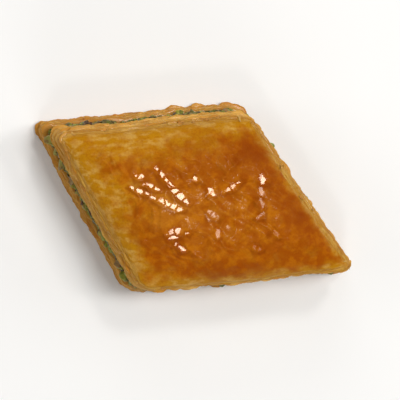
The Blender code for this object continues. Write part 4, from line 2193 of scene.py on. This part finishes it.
@dataclass
class Studio:
    """A pale floor, soft lamps and the camera, at the photo's viewing angle."""

    camera_aim: Vector = field(default_factory=lambda: Vector((0.0, 0.0, 0.016)))
    camera_offset: Vector = field(default_factory=lambda: Vector((-0.097, 0.047, 0.700)))
    roll: float = math.radians(5.4)
    framing: float = 0.0905
    sensor: float = 36.0
    floor_size: float = 4.0
    surroundings: Colour = (1.0, 0.97, 0.92)
    dimness: float = 0.12
    lamps: tuple[Lamp, ...] = (
        Lamp("key_top", (0.200, 0.100, 1.000), 0.20, 4.2, PLAIN),
        Lamp("key_back", (0.20, 0.42, 0.95), 0.12, 1.6, WARM),
        Lamp("key_right", (0.46, 0.06, 0.90), 0.12, 1.2, WARM),
        Lamp("key_front", (-0.12, -0.40, 0.95), 0.12, 0.8, WARM),
        Lamp("soft_left", (-1.10, 0.35, 0.75), 0.80, 2.8, PLAIN),
        Lamp("soft_right", (1.10, 0.25, 0.75), 0.80, 2.8, PLAIN),
        Lamp("soft_front", (0.10, -1.20, 0.55), 0.80, 3.2, PLAIN),
        Lamp("soft_back", (-0.10, 1.20, 0.70), 0.80, 2.6, PLAIN),
    )

    def floor(self) -> None:
        """Lays the floor under the piece."""
        half = self.floor_size / 2
        mesh = bpy.data.meshes.new("floor")
        corners = [(-half, -half, 0), (half, -half, 0), (half, half, 0), (-half, half, 0)]
        mesh.from_pydata(corners, [], [(0, 1, 2, 3)])
        mesh.materials.append(FloorFinish().build())
        piece_object("floor", mesh)

    def lights(self) -> None:
        """Hangs the lamps and sets the dim surroundings."""
        for lamp in self.lamps:
            lamp.hang()
        world = bpy.data.worlds.new("studio")
        bpy.context.scene.world = world
        world.use_nodes = True
        ground = world.node_tree.nodes["Background"]
        ground.inputs["Color"].default_value = (*self.surroundings, 1.0)
        ground.inputs["Strength"].default_value = self.dimness

    def camera(self) -> None:
        """Sets the camera above the piece, rolled as the photo shows it."""
        data = bpy.data.cameras.new("camera")
        data.sensor_width = self.sensor
        data.lens = self.sensor * self.camera_offset.length / self.framing
        obj = bpy.data.objects.new("camera", data)
        bpy.context.scene.collection.objects.link(obj)
        back = self.camera_offset.normalized()
        level = Vector((math.cos(self.roll), -math.sin(self.roll), 0.0))
        across = (level - back * level.dot(back)).normalized()
        up = back.cross(across)
        turned = Matrix((across, up, back)).transposed().to_4x4()
        obj.matrix_world = Matrix.Translation(self.camera_aim + self.camera_offset) @ turned
        bpy.context.scene.camera = obj

    def build(self) -> None:
        """Sets the whole studio."""
        self.floor()
        self.lights()
        self.camera()
        view = bpy.context.scene.view_settings
        view.view_transform = "Standard"
        view.look = "None"


def build_lid() -> None:
    """The crust and the upper sheets, which stand for the top solid."""
    top = GlazedCrust()
    crust = top.build()
    crust.data.materials.append(CrustFinish().build())
    ride_and_stand(crust, "top_pastry")
    ride_and_stand(LooseFlakes().build(crust), "top_pastry")
    stack = SheetStack(
        "upper_sheets",
        sheets=22,
        low=LAYERS.lid_bottom + 0.18 * MM,
        high=LAYERS.shoulder - 0.35 * MM,
        follow=(1.0, 1.0),
        finish=SheetFinish(
            "upper_leaves",
            pale=(0.720, 0.415, 0.095),
            amber=(0.560, 0.255, 0.028),
            deep=(0.420, 0.155, 0.014),
            top=(0.440, 0.165, 0.010),
            roughness=0.48,
            glaze=0.10,
        ),
        top_dip=1.0,
    )
    ride_and_stand(stack.build(), "top_pastry")
    leaves = SheetStack(
        "rim_leaves",
        sheets=6,
        low=LAYERS.shoulder - 0.30 * MM,
        high=LAYERS.shoulder - 0.02 * MM,
        follow=(1.0, 1.0),
        finish=SheetFinish(
            "rim_leaves",
            pale=(0.560, 0.320, 0.058),
            amber=(0.405, 0.172, 0.011),
            deep=(0.290, 0.095, 0.006),
            top=(0.440, 0.165, 0.007),
            roughness=0.46,
            glaze=0.08,
        ),
        top_dip=1.0,
        thickness=0.16 * MM,
        band=2.2 * MM,
        ragged=0.42 * MM,
        tear=0.7 * MM,
        flare=0.4 * MM,
        waviness=0.10 * MM,
        seed=700.0,
        strip=top.strip_shape(WALL_CELLS),
    )
    ride_and_stand(leaves.build(), "top_pastry")


def build_filling() -> None:
    """The chopped nuts and their crumb, which stand for the middle solid."""
    filling = NutFilling()
    finish = PistachioFinish().build()
    for piece in (filling.core(), filling.large_nuts(finish), filling.small_nuts(finish)):
        ride_and_stand(piece, "nut_filling")


def build_base() -> None:
    """The soaked lower sheets and their core, which stand for the lowest solid."""
    top = LAYERS.base_height
    wall = BumpyWall(0.15 * MM, top - 0.1 * MM, 1.1 * MM, follow=(0.0, 1.0))
    packed = PackedFinish("soaked_core", (0.150, 0.055, 0.008), (0.280, 0.120, 0.022))
    ride_and_stand(wall.core("packed_base", packed), "bottom_pastry")
    stack = SheetStack(
        "lower_sheets",
        sheets=17,
        low=0.19 * MM,
        high=top - 0.2 * MM,
        follow=(0.0, 1.0),
        finish=SheetFinish(
            "lower_leaves",
            pale=(0.640, 0.350, 0.066),
            amber=(0.500, 0.212, 0.020),
            deep=(0.380, 0.134, 0.011),
            top=(0.450, 0.210, 0.028),
            roughness=0.42,
            glaze=0.14,
        ),
        seed=300.0,
        ragged=0.62 * MM,
        waviness=0.26 * MM,
        thickness=0.26 * MM,
    )
    ride_and_stand(stack.build(), "bottom_pastry")


def main() -> None:
    """Builds the piece from the top down, then the studio round it."""
    logging.basicConfig(level=logging.INFO, format="%(name)s: %(message)s")
    build_lid()
    build_filling()
    build_base()
    Studio().build()


if __name__ == "__main__":
    main()
